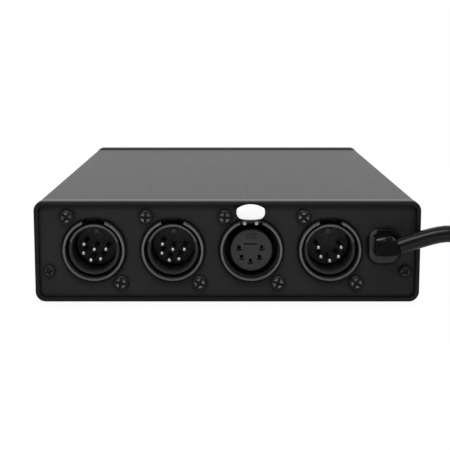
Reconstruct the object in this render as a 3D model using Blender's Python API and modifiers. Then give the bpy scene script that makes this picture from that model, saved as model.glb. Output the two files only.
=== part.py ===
"""DMX relay switch pack: an extruded case with four panel connectors, an address switch and a captive cord.

World axes: +X to the right and +Y into the case, seen from the connector end, +Z up.
The origin is on the floor, under the middle of the case.
"""
import math

import bmesh
import bpy
import numpy as np
from mathutils import Matrix, Vector

mm = 0.001
FIT = 0.3 * mm                      # gap kept between two pieces that touch

# Case
CASE_WIDTH = 143.0 * mm             # over the bezels
CASE_HEIGHT = 38.0 * mm
CASE_LENGTH = 203.2 * mm
CASE_LIFT = 2.5 * mm                # bezel underside above the floor
BEZEL_RADIUS = 3.8 * mm
BEZEL_RIM = 1.6 * mm
BEZEL_SHELF = 1.6 * mm              # ledge behind the panel
BEZEL_EAR = 6.0 * mm                # shelf width at the two ends, round the screw
BEZEL_EDGE = 0.5 * mm
TONGUE_THICKNESS = 1.6 * mm         # side tongues that centre the sleeve on the bezel
TONGUE_LENGTH = 4.0 * mm
TONGUE_TOP_GAP = 3.0 * mm           # below the sleeve's top wall
TONGUE_FOOT_GAP = 2.0 * mm          # above the screw channel
PANEL_RECESS = 1.5 * mm
PANEL_THICKNESS = 1.5 * mm
SLEEVE_INSET = 0.8 * mm             # sleeve lies this far inside the bezel outline
SLEEVE_WALL = 1.8 * mm
SLEEVE_RADIUS = 1.5 * mm
RIB_REACH = 2.6 * mm                # card slot rib, from the side wall
RIB_THICKNESS = 1.2 * mm
SCREW_CHANNEL_RADIUS = 3.2 * mm
SCREW_HEIGHT = 11.5 * mm            # end panel screws, above the case underside
SCREW_FROM_SIDE = 5.3 * mm

# Screws: head radius, head height, shank radius, shank length
PANEL_SCREW = (2.3 * mm, 1.1 * mm, 1.15 * mm, 12.0 * mm)
CONNECTOR_SCREW = (2.8 * mm, 1.6 * mm, 1.3 * mm, 5.4 * mm)

# Feet
FOOT_RADIUS = 6.0 * mm
FOOT_TOP_RADIUS = 6.6 * mm
FOOT_FROM_END = 19.0 * mm
FOOT_FROM_SIDE = 17.0 * mm

# Panel connectors; depths are measured inward from the panel's outer face
FIRST_CONNECTOR_X = -49.5 * mm
CONNECTOR_PITCH = 29.2 * mm
CONNECTOR_HEIGHT = 19.5 * mm        # above the case underside
RING_RADIUS = 11.55 * mm
RING_INNER_RADIUS = 10.5 * mm
RING_STANDOUT = 2.0 * mm
FLANGE_WIDTH = 26.0 * mm
FLANGE_HEIGHT = 31.0 * mm
FLANGE_THICKNESS = 2.0 * mm
CONNECTOR_SCREW_X = 9.9 * mm
CONNECTOR_SCREW_Z = 12.4 * mm
BARREL_RADIUS = 9.7 * mm
SHELL_LENGTH = 17.5 * mm
GROOVE_DEPTH = 7.0 * mm
PIN_SLEEVE_RADIUS = 9.55 * mm
PIN_SLEEVE_LOW_RADIUS = 9.35 * mm   # lower part of the pin sleeve, which is also shorter
PIN_SLEEVE_CUTBACK = 0.6 * mm
PIN_SLEEVE_STEP_Z = 3.0 * mm
PIN_SLEEVE_STANDOUT = 0.4 * mm
PIN_SLEEVE_LEAD_IN = (0.45 * mm, 0.8 * mm)   # width and depth of the chamfer at its mouth
PIN_BORE_RADIUS = 8.2 * mm
INSERT_DEPTH = 11.2 * mm
INSERT_THICKNESS = 4.5 * mm
REAR_BORE_RADIUS = 6.5 * mm
PIN_RADIUS = 0.8 * mm
PIN_CIRCLE = 4.3 * mm
PIN_TIP_RECESS = 0.2 * mm           # behind the pin sleeve's edge
SOLDER_CUP_LENGTH = 3.5 * mm
KEY_WIDTH = 2.1 * mm
KEY_LOW = 4.6 * mm                  # heights of the key above the connector's axis
KEY_HIGH = 6.2 * mm
KEY_LENGTH = 1.4 * mm
KEY_RECESS_WIDTH = 3.6 * mm         # shallow recess for it in the socket insert's face
KEY_RECESS_DEPTH = 0.6 * mm
NOTCH_HALF_WIDTH = 4.2 * mm
PIN_NOTCH_LOW = 9.85 * mm           # gap at the ring's top, above the connector's axis
SOCKET_NOTCH_LOW = 9.3 * mm         # lower there, clear of the latch's trunnions
SIX_PIN_ANGLES = (153.0, 200.0, 252.0, 302.0, 0.6)
FIVE_PIN_ANGLES = (170.0, -140.0, -90.0, -40.0, 10.0)
SOCKET_INSERT_RADIUS = 7.7 * mm
SOCKET_RADIUS = 1.1 * mm
SOCKET_DEPTH = 8.0 * mm
SOCKET_FACE_STANDOUT = 1.6 * mm
PLUG_SPACE_RADIUS = 9.8 * mm        # annular space for the mating plug's tube
PLUG_SPACE_DEPTH = 12.5 * mm

# Push latch of the through connector; heights are from the connector's axis
TAB_WIDTH = 10.5 * mm
TAB_HEIGHT = 5.7 * mm
TAB_THICKNESS = 1.4 * mm
TAB_Z = 14.75 * mm
TAB_STANDOUT = 4.6 * mm             # tab's front, ahead of the panel
LATCH_PIVOT = (0.6 * mm, 10.25 * mm)  # depth and height of the trunnions
LATCH_REACH = 6.6 * mm              # hook behind the pivot
ARM_X = 2.2 * mm
ARM_WIDTH = 1.1 * mm
ARM_THICKNESS = 1.0 * mm
ARM_FRONT = 2.7 * mm                # arms' front ends, ahead of the panel
POST_DEPTH = 1.0 * mm               # posts that rise from the arms behind the tab
BRIDGE_LOW = 2.4 * mm               # bridge from the posts to the tab, above the pivot
BRIDGE_HEIGHT = 1.4 * mm
TRUNNION_RADIUS = 0.6 * mm
HOOK_LENGTH = 2.4 * mm
HOOK_RISE = 0.7 * mm

# Address switch and lamps on the other end
DECADES = 3
DECADE_PITCH = 8.0 * mm
SWITCH_X = -38.0 * mm
SWITCH_Z = 19.0 * mm
SWITCH_BEZEL_HEIGHT = 26.0 * mm
SWITCH_BEZEL_THICKNESS = 1.2 * mm
SWITCH_BODY_HEIGHT = 22.4 * mm
SWITCH_BODY_DEPTH = 24.0 * mm
SWITCH_END_WALL = 2.6 * mm
WHEEL_RADIUS = 9.5 * mm
WHEEL_WIDTH = 4.8 * mm
WHEEL_TEETH = 20
WHEEL_TOOTH = 0.5 * mm
WHEEL_STANDOUT = 0.9 * mm           # ahead of the bezel
DRUM_RADIUS = 8.7 * mm
DRUM_WIDTH = 2.9 * mm
AXLE_RADIUS = 1.2 * mm
AXLE_STUB = 1.0 * mm
LAMP_RADIUS = 2.5 * mm
LAMP_FLANGE_RADIUS = 2.95 * mm
LAMP_PITCH = 9.0 * mm
FIRST_LAMP_X = 10.0 * mm
POWER_LAMP_X = -8.0 * mm
LAMP_Z = 19.0 * mm
CHANNELS = 6

# Board and what it carries; heights are above the case underside
BOARD_THICKNESS = 1.6 * mm
BOARD_Z = 5.7 * mm
BOARD_FROM_REAR = 14.0 * mm
BOARD_FROM_FRONT = 34.0 * mm
RELAY_SIZE = (12.7 * mm, 29.0 * mm, 15.7 * mm)
RELAY_PITCH = 15.0 * mm
FIRST_RELAY_X = -55.0 * mm
RELAY_Y = 52.0 * mm
CORE_SIZE = (27.0 * mm, 40.0 * mm, 25.0 * mm)
CORE_CENTRE = (46.0 * mm, 62.0 * mm)
CORE_LIMB = 8.0 * mm
WINDING_SIZE = (31.0 * mm, 24.0 * mm, 17.0 * mm)
CAPACITOR_RADIUS = 6.5 * mm
CAPACITOR_HEIGHT = 20.0 * mm
CAPACITOR_CENTRE = (44.0 * mm, 98.0 * mm)
CHIP_SIZE = (14.0 * mm, 52.0 * mm, 4.0 * mm)
CHIP_CENTRE = (-20.0 * mm, 110.0 * mm)
CHIP_PIN_PITCH = 5.08 * mm
FUSE_SIZE = (11.0 * mm, 19.0 * mm, 17.0 * mm)
FUSE_CENTRE = (57.0 * mm, 28.0 * mm)

# Mains cord and its right-angle strain relief, from the bezel's outer face
CORD_DIAMETER = 6.2 * mm
RELIEF_X = 58.0 * mm
RELIEF_Z = 21.3 * mm
RELIEF_FLANGE = (11.7 * mm, 13.1 * mm, 4.6 * mm)
RELIEF_FLANGE_THICKNESS = 2.2 * mm
RELIEF_NECK = (9.0 * mm, 10.4 * mm, 4.0 * mm)
RELIEF_NECK_LENGTH = 5.2 * mm
RELIEF_RIDGE = (6.0 * mm, 12.4 * mm)
RELIEF_RIDGE_LENGTH = 1.6 * mm
RELIEF_HOOD = [(53.2 * mm, 17.7 * mm), (61.0 * mm, 17.7 * mm), (61.6 * mm, 27.9 * mm), (53.2 * mm, 26.0 * mm)]
RELIEF_HOOD_REACH = 10.4 * mm       # its corners are x and height
RELIEF_COLLAR_RADIUS = 4.0 * mm
RELIEF_COLLAR_END_RADIUS = 3.5 * mm
RELIEF_COLLAR_LENGTH = 7.5 * mm
CORD_RISE = math.radians(20.0)
CORD_EXIT = (62.4 * mm, -6.5 * mm, 22.15 * mm)

# Free cord: x, distance inward from the bezel face, height above the floor
LEAD_ROUTE = [(71.5 * mm, -6.5 * mm, 27.7 * mm), (76.5 * mm, -6.5 * mm, 29.0 * mm),
              (82.0 * mm, -6.7 * mm, 29.4 * mm), (91.9 * mm, -7.6 * mm, 27.7 * mm),
              (101.0 * mm, -8.6 * mm, 22.6 * mm), (109.0 * mm, -9.0 * mm, 16.6 * mm),
              (117.0 * mm, -8.8 * mm, 10.6 * mm), (127.0 * mm, -7.6 * mm, 5.4 * mm),
              (134.5 * mm, -6.7 * mm, 3.6 * mm)]
COIL_CENTRE = (148.0 * mm, 42.0 * mm)
COIL_OUTER_RADIUS = 48.5 * mm
COIL_PITCH = 6.8 * mm
COIL_HEIGHT = 3.2 * mm              # centre of the lower layer above the floor
COIL_TURNS = 7.25
COIL_CLIMB_TURNS = 0.5
COIL_POINTS = 24
COIL_END_RUN = 18.0 * mm            # straight run to the plug, clear of the turns
PLUG_BOOT_LENGTH = 20.0 * mm
PLUG_BOOT_RADII = (3.9 * mm, 6.2 * mm)
PLUG_BODY = (25.6 * mm, 34.0 * mm, 19.4 * mm)
PLUG_AXIS_OFFSET = 1.4 * mm
BLADE_SIZE = (6.35 * mm, 17.5 * mm, 1.5 * mm)
BLADE_SPACING = 12.7 * mm
BLADE_X = 4.5 * mm
GROUND_PIN_X = -7.4 * mm
GROUND_PIN_RADIUS = 2.4 * mm
GROUND_PIN_LENGTH = 20.5 * mm
CARRIER_SIZE = (20.0 * mm, 5.0 * mm, 15.4 * mm)

# Places that follow from the sizes above
REAR_STANDOUT = TAB_STANDOUT - PANEL_RECESS
REAR_Y = (REAR_STANDOUT - WHEEL_STANDOUT - CASE_LENGTH) / 2
PANEL_BACK = PANEL_RECESS + PANEL_THICKNESS
BEZEL_DEPTH = PANEL_BACK + FIT + BEZEL_SHELF
SCREW_X = CASE_WIDTH / 2 - SCREW_FROM_SIDE
WALL_X = CASE_WIDTH / 2 - SLEEVE_INSET - SLEEVE_WALL
FLANGE_DEPTH = PANEL_THICKNESS + FIT


# Solids

def clear_scene():
    for old in list(bpy.data.objects):
        bpy.data.objects.remove(old)
    for old in list(bpy.data.collections):
        bpy.data.collections.remove(old)


def make_collection(name):
    collection = bpy.data.collections.new(name)
    bpy.context.scene.collection.children.link(collection)
    return collection


def body_of(mesh):
    body = bpy.data.objects.new(mesh.name, mesh)
    product.objects.link(body)
    return body


def body_from(bm):
    bmesh.ops.recalc_face_normals(bm, faces=bm.faces)
    mesh = bpy.data.meshes.new("solid")
    bm.to_mesh(mesh)
    bm.free()
    return body_of(mesh)


def baked(holder):
    """Mesh of an object as its modifiers leave it, welded; the object itself is removed."""
    bpy.context.view_layer.update()
    shaped = holder.evaluated_get(bpy.context.evaluated_depsgraph_get())
    mesh = bpy.data.meshes.new_from_object(shaped)
    bm = bmesh.new()
    bm.from_mesh(mesh)
    bmesh.ops.remove_doubles(bm, verts=bm.verts, dist=0.001 * mm)
    bpy.data.objects.remove(holder)
    bpy.data.meshes.remove(mesh)
    return bm


def block(low, high):
    """Box between two corners."""
    size = [b - a for a, b in zip(low, high)]
    middle = [(a + b) / 2 for a, b in zip(low, high)]
    bm = bmesh.new()
    bmesh.ops.create_cube(bm, size=1.0, matrix=Matrix.Translation(middle) @ Matrix.Diagonal((*size, 1.0)))
    return body_from(bm)


def rod(start, end, radius, end_radius=None, sides=24):
    """Cylinder or cone between two points."""
    line = Vector(end) - Vector(start)
    turn = line.to_track_quat("Z", "Y").to_matrix().to_4x4()
    bm = bmesh.new()
    bmesh.ops.create_cone(bm, cap_ends=True, segments=sides, radius1=radius,
                          radius2=radius if end_radius is None else end_radius, depth=line.length,
                          matrix=Matrix.Translation((Vector(start) + Vector(end)) / 2) @ turn)
    return body_from(bm)


def plate(outlines, front, back):
    """Flat piece in the XZ plane from y = front to y = back; later outlines are holes in the first."""
    curve = bpy.data.curves.new("outline", "CURVE")
    curve.dimensions = "2D"
    curve.fill_mode = "BOTH"
    curve.extrude = (back - front) / 2
    for outline in outlines:
        spline = curve.splines.new("POLY")
        spline.points.add(len(outline) - 1)
        for point, (x, z) in zip(spline.points, outline):
            point.co = (x, z, 0.0, 1.0)
        spline.use_cyclic_u = True
    holder = body_of(curve)
    bm = baked(holder)
    stand = Matrix.Translation((0.0, (front + back) / 2, 0.0)) @ Matrix.Rotation(math.pi / 2, 4, "X")
    bmesh.ops.transform(bm, matrix=stand, verts=bm.verts)
    return body_from(bm)


def turned(profile, sides=24, closed=True):
    """Solid turned about the Y axis from (radius, y) points; an open profile starts and ends on the axis."""
    bm = bmesh.new()
    verts = [bm.verts.new((radius, 0.0, depth)) for radius, depth in profile]
    pairs = list(zip(verts, verts[1:]))
    if closed:
        pairs.append((verts[-1], verts[0]))
    for first, second in pairs:
        bm.edges.new((first, second))
    mesh = bpy.data.meshes.new("profile")
    bm.to_mesh(mesh)
    bm.free()
    holder = body_of(mesh)
    screw = holder.modifiers.new("turn", "SCREW")
    screw.steps = sides
    screw.render_steps = sides
    screw.use_merge_vertices = True
    screw.merge_threshold = 0.001 * mm
    bm = baked(holder)
    bmesh.ops.transform(bm, matrix=Matrix.Rotation(-math.pi / 2, 4, "X"), verts=bm.verts)
    return body_from(bm)


def combined(body, tool, operation):
    boolean = body.modifiers.new("combine", "BOOLEAN")
    boolean.operation = operation
    boolean.solver = "EXACT"
    boolean.object = tool
    bm = baked(body)
    bpy.data.objects.remove(tool)
    return body_from(bm)


def cut(body, *tools):
    for tool in tools:
        body = combined(body, tool, "DIFFERENCE")
    return body


def fuse(body, *tools):
    for tool in tools:
        body = combined(body, tool, "UNION")
    return body


def soften(body, width, segments=2, angle=50.0):
    """Round every edge sharper than the angle."""
    bevel = body.modifiers.new("soften", "BEVEL")
    bevel.width = width
    bevel.segments = segments
    bevel.limit_method = "ANGLE"
    bevel.angle_limit = math.radians(angle)
    return body_from(baked(body))


# Outlines

def arc(centre, radius, first, last, steps):
    angles = [math.radians(first + (last - first) * i / steps) for i in range(steps + 1)]
    return [(centre[0] + radius * math.cos(a), centre[1] + radius * math.sin(a)) for a in angles]


def circle(radius, sides=24, centre=(0.0, 0.0)):
    return arc(centre, radius, 0.0, 360.0 - 360.0 / sides, sides - 1)


def rounded(width, height, radius, centre=(0.0, 0.0), steps=4):
    x, z = centre
    w, h = width / 2 - radius, height / 2 - radius
    return (arc((x + w, z + h), radius, 0, 90, steps) + arc((x - w, z + h), radius, 90, 180, steps)
            + arc((x - w, z - h), radius, 180, 270, steps) + arc((x + w, z - h), radius, 270, 360, steps))


def mirrored(points):
    return [(-x, z) for x, z in reversed(points)]


# Materials and placing

def material(name, colour, roughness, metallic=0.0):
    made = bpy.data.materials.new(name)
    made.use_nodes = True
    shader = made.node_tree.nodes["Principled BSDF"]
    shader.inputs["Base Color"].default_value = (*colour, 1.0)
    shader.inputs["Roughness"].default_value = roughness
    shader.inputs["Metallic"].default_value = metallic
    made.diffuse_color = (*colour, 1.0)
    return made


def frame_at(name, location, parent=None, turn=0.0):
    """Empty that carries pieces; its turn is about Z."""
    holder = bpy.data.objects.new(name, None)
    holder.location = location
    holder.rotation_euler = (0.0, 0.0, turn)
    holder.parent = parent
    holder.empty_display_size = 10 * mm
    product.objects.link(holder)
    return holder


def finish(body, name, finish_name, parent=None, location=(0.0, 0.0, 0.0)):
    """Name a piece, give it its material and shading, and hang it on its frame."""
    body.name = name
    body.data.name = name
    body.data.materials.clear()
    body.data.materials.append(FINISHES[finish_name])
    if body.type == "MESH":
        body.data.shade_smooth()
        body.data.set_sharp_from_angle(angle=math.radians(35.0))
    body.parent = parent
    body.location = location
    return body


def copy_of(body, name, location, parent):
    """Another piece on the same mesh."""
    twin = bpy.data.objects.new(name, body.data)
    twin.parent = parent
    twin.location = location
    product.objects.link(twin)
    return twin


# Case

def make_sleeve():
    """Extruded sleeve with card slots and screw channels down both sides."""
    middle = CASE_HEIGHT / 2
    width = CASE_WIDTH - 2 * SLEEVE_INSET
    height = CASE_HEIGHT - 2 * SLEEVE_INSET
    floor = SLEEVE_INSET + SLEEVE_WALL
    ceiling = CASE_HEIGHT - floor
    slot_low = BOARD_Z - FIT
    slot_high = BOARD_Z + BOARD_THICKNESS + FIT
    rib_x = WALL_X - RIB_REACH
    channel_foot = SCREW_HEIGHT - SCREW_CHANNEL_RADIUS
    right = [(WALL_X, floor), (WALL_X, slot_low - RIB_THICKNESS), (rib_x, slot_low - RIB_THICKNESS),
             (rib_x, slot_low), (WALL_X, slot_low), (WALL_X, slot_high), (rib_x, slot_high),
             (rib_x, channel_foot)]
    right += arc((SCREW_X, SCREW_HEIGHT), SCREW_CHANNEL_RADIUS, 270, 90, 8)
    right += [(WALL_X, SCREW_HEIGHT + SCREW_CHANNEL_RADIUS), (WALL_X, ceiling)]
    bore = PANEL_SCREW[2] + FIT
    outlines = [rounded(width, height, SLEEVE_RADIUS, (0.0, middle), 3), right + mirrored(right),
                circle(bore, 12, (SCREW_X, SCREW_HEIGHT)), circle(bore, 12, (-SCREW_X, SCREW_HEIGHT))]
    start = BEZEL_DEPTH + FIT
    return plate(outlines, start, CASE_LENGTH - start)


def make_bezel():
    """End frame with a pocket for the panel and a shelf behind it."""
    middle = (0.0, CASE_HEIGHT / 2)
    pocket = (CASE_WIDTH - 2 * BEZEL_RIM, CASE_HEIGHT - 2 * BEZEL_RIM)
    opening_height = CASE_HEIGHT - 2 * (SLEEVE_INSET + SLEEVE_WALL)
    opening_width = pocket[0] - 2 * BEZEL_EAR
    body = plate([rounded(CASE_WIDTH, CASE_HEIGHT, BEZEL_RADIUS, middle)], 0.0, BEZEL_DEPTH)
    body = soften(body, BEZEL_EDGE, 1, 60.0)
    body = cut(body, plate([rounded(*pocket, BEZEL_RADIUS - BEZEL_RIM, middle)], -1 * mm, PANEL_BACK + FIT),
               plate([rounded(opening_width, opening_height, 1 * mm, middle, 2)], 0.0, 2 * BEZEL_DEPTH))
    tongue_low = SCREW_HEIGHT + SCREW_CHANNEL_RADIUS + TONGUE_FOOT_GAP
    tongue_high = CASE_HEIGHT - SLEEVE_INSET - SLEEVE_WALL - TONGUE_TOP_GAP
    outer = WALL_X - FIT
    for side in (-1, 1):
        hole = rod((side * SCREW_X, 0.0, SCREW_HEIGHT), (side * SCREW_X, 2 * BEZEL_DEPTH, SCREW_HEIGHT),
                   PANEL_SCREW[2] + 2 * FIT, sides=12)
        near, far = sorted((side * outer, side * (outer - TONGUE_THICKNESS)))
        tongue = block((near, BEZEL_DEPTH - BEZEL_SHELF / 2, tongue_low),
                       (far, BEZEL_DEPTH + TONGUE_LENGTH, tongue_high))
        body = fuse(cut(body, hole), tongue)
    return body


def panel_outline():
    width = CASE_WIDTH - 2 * (BEZEL_RIM + FIT)
    height = CASE_HEIGHT - 2 * (BEZEL_RIM + FIT)
    return rounded(width, height, BEZEL_RADIUS - BEZEL_RIM - FIT, (0.0, CASE_HEIGHT / 2))


def panel_screw_holes():
    return [circle(PANEL_SCREW[2] + FIT, 12, (side * SCREW_X, SCREW_HEIGHT)) for side in (-1, 1)]


def connector_x(index):
    return FIRST_CONNECTOR_X + index * CONNECTOR_PITCH


def make_rear_panel():
    """Panel with a round hole for each connector, its screw holes and the strain relief's hole."""
    holes = panel_screw_holes()
    for index in range(4):
        x = connector_x(index)
        holes.append(circle(RING_RADIUS + FIT, 24, (x, CONNECTOR_HEIGHT)))
        for side in (-1, 1):
            centre = (x + side * CONNECTOR_SCREW_X, CONNECTOR_HEIGHT - side * CONNECTOR_SCREW_Z)
            holes.append(circle(CONNECTOR_SCREW[2] + FIT, 8, centre))
    width, height, radius = RELIEF_NECK
    holes.append(rounded(width + 2 * FIT, height + 2 * FIT, radius + FIT, (RELIEF_X, RELIEF_Z)))
    return plate([panel_outline()] + holes, PANEL_RECESS, PANEL_BACK)


def switch_width():
    return DECADES * DECADE_PITCH + 2 * SWITCH_END_WALL - (DECADE_PITCH - WHEEL_WIDTH - 2 * FIT)


def channel_lamp_places():
    return [FIRST_LAMP_X + i * LAMP_PITCH for i in range(CHANNELS)]


def make_front_panel():
    """Panel with a window for the address switch and a hole for each lamp."""
    holes = panel_screw_holes()
    holes.append(rounded(switch_width() + 2 * FIT, SWITCH_BODY_HEIGHT + 2 * FIT, 0.5 * mm,
                         (SWITCH_X, SWITCH_Z), 1))
    holes += [circle(LAMP_RADIUS + FIT, 12, (x, LAMP_Z)) for x in [POWER_LAMP_X] + channel_lamp_places()]
    return plate([panel_outline()] + holes, PANEL_RECESS, PANEL_BACK)


def make_screw(head_radius, head_height, shank_radius, shank_length):
    """Pan head screw; its seat is at y = 0 and its shank runs inward."""
    profile = [(0.0, -head_height), (0.6 * head_radius, -head_height),
               (head_radius, -0.45 * head_height), (head_radius, 0.0), (shank_radius, 0.0),
               (shank_radius, shank_length), (0.0, shank_length)]
    return turned(profile, 12, closed=False)


def make_foot():
    """Rubber bumper, wider where it is stuck to the sleeve."""
    top = CASE_LIFT + SLEEVE_INSET - FIT
    profile = [(0.0, 0.0), (FOOT_RADIUS - 0.6 * mm, 0.0), (FOOT_RADIUS, 0.5 * mm),
               (FOOT_TOP_RADIUS, top), (0.0, top)]
    foot = turned(profile, 20, closed=False)
    foot.data.transform(Matrix.Rotation(math.pi / 2, 4, "X"))
    return foot


# Panel connectors, about their own axis with y = 0 on the panel's outer face

def make_flange():
    corners = [circle(CONNECTOR_SCREW[2] + FIT, 10, (side * CONNECTOR_SCREW_X, -side * CONNECTOR_SCREW_Z))
               for side in (-1, 1)]
    outline = rounded(FLANGE_WIDTH, FLANGE_HEIGHT, 3 * mm, steps=3)
    core = circle(RING_RADIUS - 0.5 * mm)
    return plate([outline] + corners + [core], FLANGE_DEPTH, FLANGE_DEPTH + FLANGE_THICKNESS)


def make_notch(low, depth):
    """Cutter for the gap at the top of the ring; behind the panel it stays within the ring."""
    front = block((-NOTCH_HALF_WIDTH, -2 * RING_STANDOUT, low),
                  (NOTCH_HALF_WIDTH, PANEL_THICKNESS, RING_RADIUS + 1 * mm))
    return fuse(front, block((-NOTCH_HALF_WIDTH, 0.0, low), (NOTCH_HALF_WIDTH, depth, RING_RADIUS - 0.1 * mm)))


def ring_front():
    """Front of the ring, from its inner edge round to its outer one."""
    edge = 0.3 * mm
    return [(RING_INNER_RADIUS, -RING_STANDOUT), (RING_RADIUS - edge, -RING_STANDOUT),
            (RING_RADIUS, -RING_STANDOUT + edge)]


def make_pin_shell():
    """Shell of a pin connector: outer ring, groove and an inner sleeve that is longer at the top."""
    ledge = INSERT_DEPTH + INSERT_THICKNESS + FIT
    shoulder = GROOVE_DEPTH + 2 * mm
    front = -PIN_SLEEVE_STANDOUT
    lead_width, lead_depth = PIN_SLEEVE_LEAD_IN
    profile = ring_front() + [
        (RING_RADIUS, shoulder), (BARREL_RADIUS, shoulder), (BARREL_RADIUS, SHELL_LENGTH),
        (REAR_BORE_RADIUS, SHELL_LENGTH), (REAR_BORE_RADIUS, ledge), (PIN_BORE_RADIUS, ledge),
        (PIN_BORE_RADIUS, front + lead_depth), (PIN_BORE_RADIUS + lead_width, front), (PIN_SLEEVE_RADIUS, front),
        (PIN_SLEEVE_RADIUS, GROOVE_DEPTH), (RING_INNER_RADIUS, GROOVE_DEPTH)]
    body = fuse(turned(profile), make_flange())
    reach = (PIN_SLEEVE_RADIUS + RING_INNER_RADIUS) / 2
    step = math.degrees(math.asin(PIN_SLEEVE_STEP_Z / reach))
    lower = arc((0.0, 0.0), reach, step, -180.0 - step, 24)
    lower_foot = arc((0.0, 0.0), PIN_SLEEVE_LOW_RADIUS, -180.0 - step, step, 24)
    band = plate([lower + lower_foot], -2 * RING_STANDOUT, GROOVE_DEPTH - 1 * mm)
    notch = make_notch(PIN_NOTCH_LOW, GROOVE_DEPTH)
    return cut(body, notch, plate([lower], -2 * RING_STANDOUT, front + PIN_SLEEVE_CUTBACK), band)


def make_socket_shell():
    """Shell of the socket connector: ring, annular space for the mating plug and a slot for the latch."""
    ledge = INSERT_DEPTH + INSERT_THICKNESS + FIT
    seat = SOCKET_INSERT_RADIUS + FIT
    wall = PLUG_SPACE_RADIUS + 1.2 * mm
    step = 1.0 * mm
    shoulder = FLANGE_DEPTH + FLANGE_THICKNESS + 1 * mm
    profile = ring_front() + [
        (RING_RADIUS, shoulder), (wall, shoulder),
        (wall, SHELL_LENGTH), (REAR_BORE_RADIUS, SHELL_LENGTH), (REAR_BORE_RADIUS, ledge), (seat, ledge),
        (seat, PLUG_SPACE_DEPTH), (PLUG_SPACE_RADIUS, PLUG_SPACE_DEPTH), (PLUG_SPACE_RADIUS, step),
        (RING_INNER_RADIUS, step)]
    body = fuse(turned(profile), make_flange())
    slot = block((-ARM_X - ARM_WIDTH, -1 * mm, SOCKET_INSERT_RADIUS + 1 * mm),
                 (ARM_X + ARM_WIDTH, LATCH_PIVOT[0] + LATCH_REACH + 2 * mm, RING_RADIUS - 0.2 * mm))
    return cut(body, make_notch(SOCKET_NOTCH_LOW, PANEL_THICKNESS + FIT), slot)


def pin_places(angles):
    return [(PIN_CIRCLE * math.cos(math.radians(a)), PIN_CIRCLE * math.sin(math.radians(a))) for a in angles]


def make_pin_insert(places):
    """Insulator disc with its contact pins, solder cups and key."""
    back = INSERT_DEPTH + INSERT_THICKNESS
    body = rod((0.0, INSERT_DEPTH, 0.0), (0.0, back, 0.0), PIN_BORE_RADIUS - FIT)
    body = fuse(body, block((-KEY_WIDTH / 2, INSERT_DEPTH - KEY_LENGTH, KEY_LOW),
                            (KEY_WIDTH / 2, INSERT_DEPTH + 1 * mm, KEY_HIGH)))
    tip = PIN_TIP_RECESS - PIN_SLEEVE_STANDOUT
    profile = [(0.0, tip), (0.6 * PIN_RADIUS, tip + 0.1 * mm), (PIN_RADIUS, tip + 0.7 * mm),
               (PIN_RADIUS, back + SOLDER_CUP_LENGTH), (0.0, back + SOLDER_CUP_LENGTH)]
    for x, z in places:
        pin = turned(profile, 8, closed=False)
        pin.data.transform(Matrix.Translation((x, 0.0, z)))
        body = fuse(body, pin)
    return body


def make_socket_insert(places):
    """Insulator with blind contact sockets and a shallow recess for the key."""
    back = INSERT_DEPTH + INSERT_THICKNESS
    face = -SOCKET_FACE_STANDOUT
    body = rod((0.0, face, 0.0), (0.0, back, 0.0), SOCKET_INSERT_RADIUS)
    body = cut(body, block((-KEY_RECESS_WIDTH / 2, face - 1 * mm, KEY_LOW - FIT),
                           (KEY_RECESS_WIDTH / 2, face + KEY_RECESS_DEPTH, KEY_HIGH + FIT)))
    for x, z in places:
        body = cut(body, rod((x, face - 1 * mm, z), (x, face + SOCKET_DEPTH, z), SOCKET_RADIUS, sides=10))
        body = fuse(body, rod((x, back - 1 * mm, z), (x, back + SOLDER_CUP_LENGTH, z), PIN_RADIUS, sides=8))
    return body


def make_latch():
    """Rocking latch, about its pivot: push tab, two arms through the ring's notch, trunnions and hook."""
    depth, height = LATCH_PIVOT
    front = -TAB_STANDOUT - depth
    tab_z = TAB_Z - height
    back = front + TAB_THICKNESS
    body = plate([rounded(TAB_WIDTH, TAB_HEIGHT, 0.46 * TAB_HEIGHT, (0.0, tab_z), 5)], front, back)
    body = soften(body, 0.35 * mm, 2, 60.0)
    low, high = -ARM_THICKNESS / 2, ARM_THICKNESS / 2
    arm_front = -ARM_FRONT - depth
    post_back = arm_front + POST_DEPTH
    bridge_top = BRIDGE_LOW + BRIDGE_HEIGHT
    for side in (-1, 1):
        left, right = side * ARM_X - ARM_WIDTH / 2, side * ARM_X + ARM_WIDTH / 2
        body = fuse(body, block((left, arm_front, low), (right, LATCH_REACH, high)),
                    block((left, arm_front + 0.1 * mm, 0.0), (right, post_back, bridge_top - 0.1 * mm)))
    reach = ARM_X + ARM_WIDTH / 2
    body = fuse(body, block((-reach, back - 0.6 * mm, BRIDGE_LOW), (reach, post_back, bridge_top)))
    half = NOTCH_HALF_WIDTH - FIT
    body = fuse(body, rod((-half, 0.0, 0.0), (half, 0.0, 0.0), TRUNNION_RADIUS, sides=12))
    return fuse(body, make_hook(reach, low, high))


def make_hook(half_width, low, high):
    """Hook at the latch's inner end: a cross bar with a sloped nose."""
    heel = LATCH_REACH - HOOK_LENGTH
    nose = high + HOOK_RISE
    side = [(heel, low), (LATCH_REACH, low), (LATCH_REACH, nose), (LATCH_REACH - HOOK_LENGTH / 3, nose), (heel, high)]
    bar = plate([[(z, y) for y, z in side]], -half_width, half_width)
    bar.data.transform(Matrix(((0, 1, 0, 0), (0, 0, 1, 0), (1, 0, 0, 0), (0, 0, 0, 1))))
    return bar


# Address switch and lamps, with y = 0 on the bezel's outer face

def wheel_axis_y():
    return WHEEL_RADIUS - WHEEL_STANDOUT


def wheel_x(index):
    return SWITCH_X + (index - (DECADES - 1) / 2) * DECADE_PITCH


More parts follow.
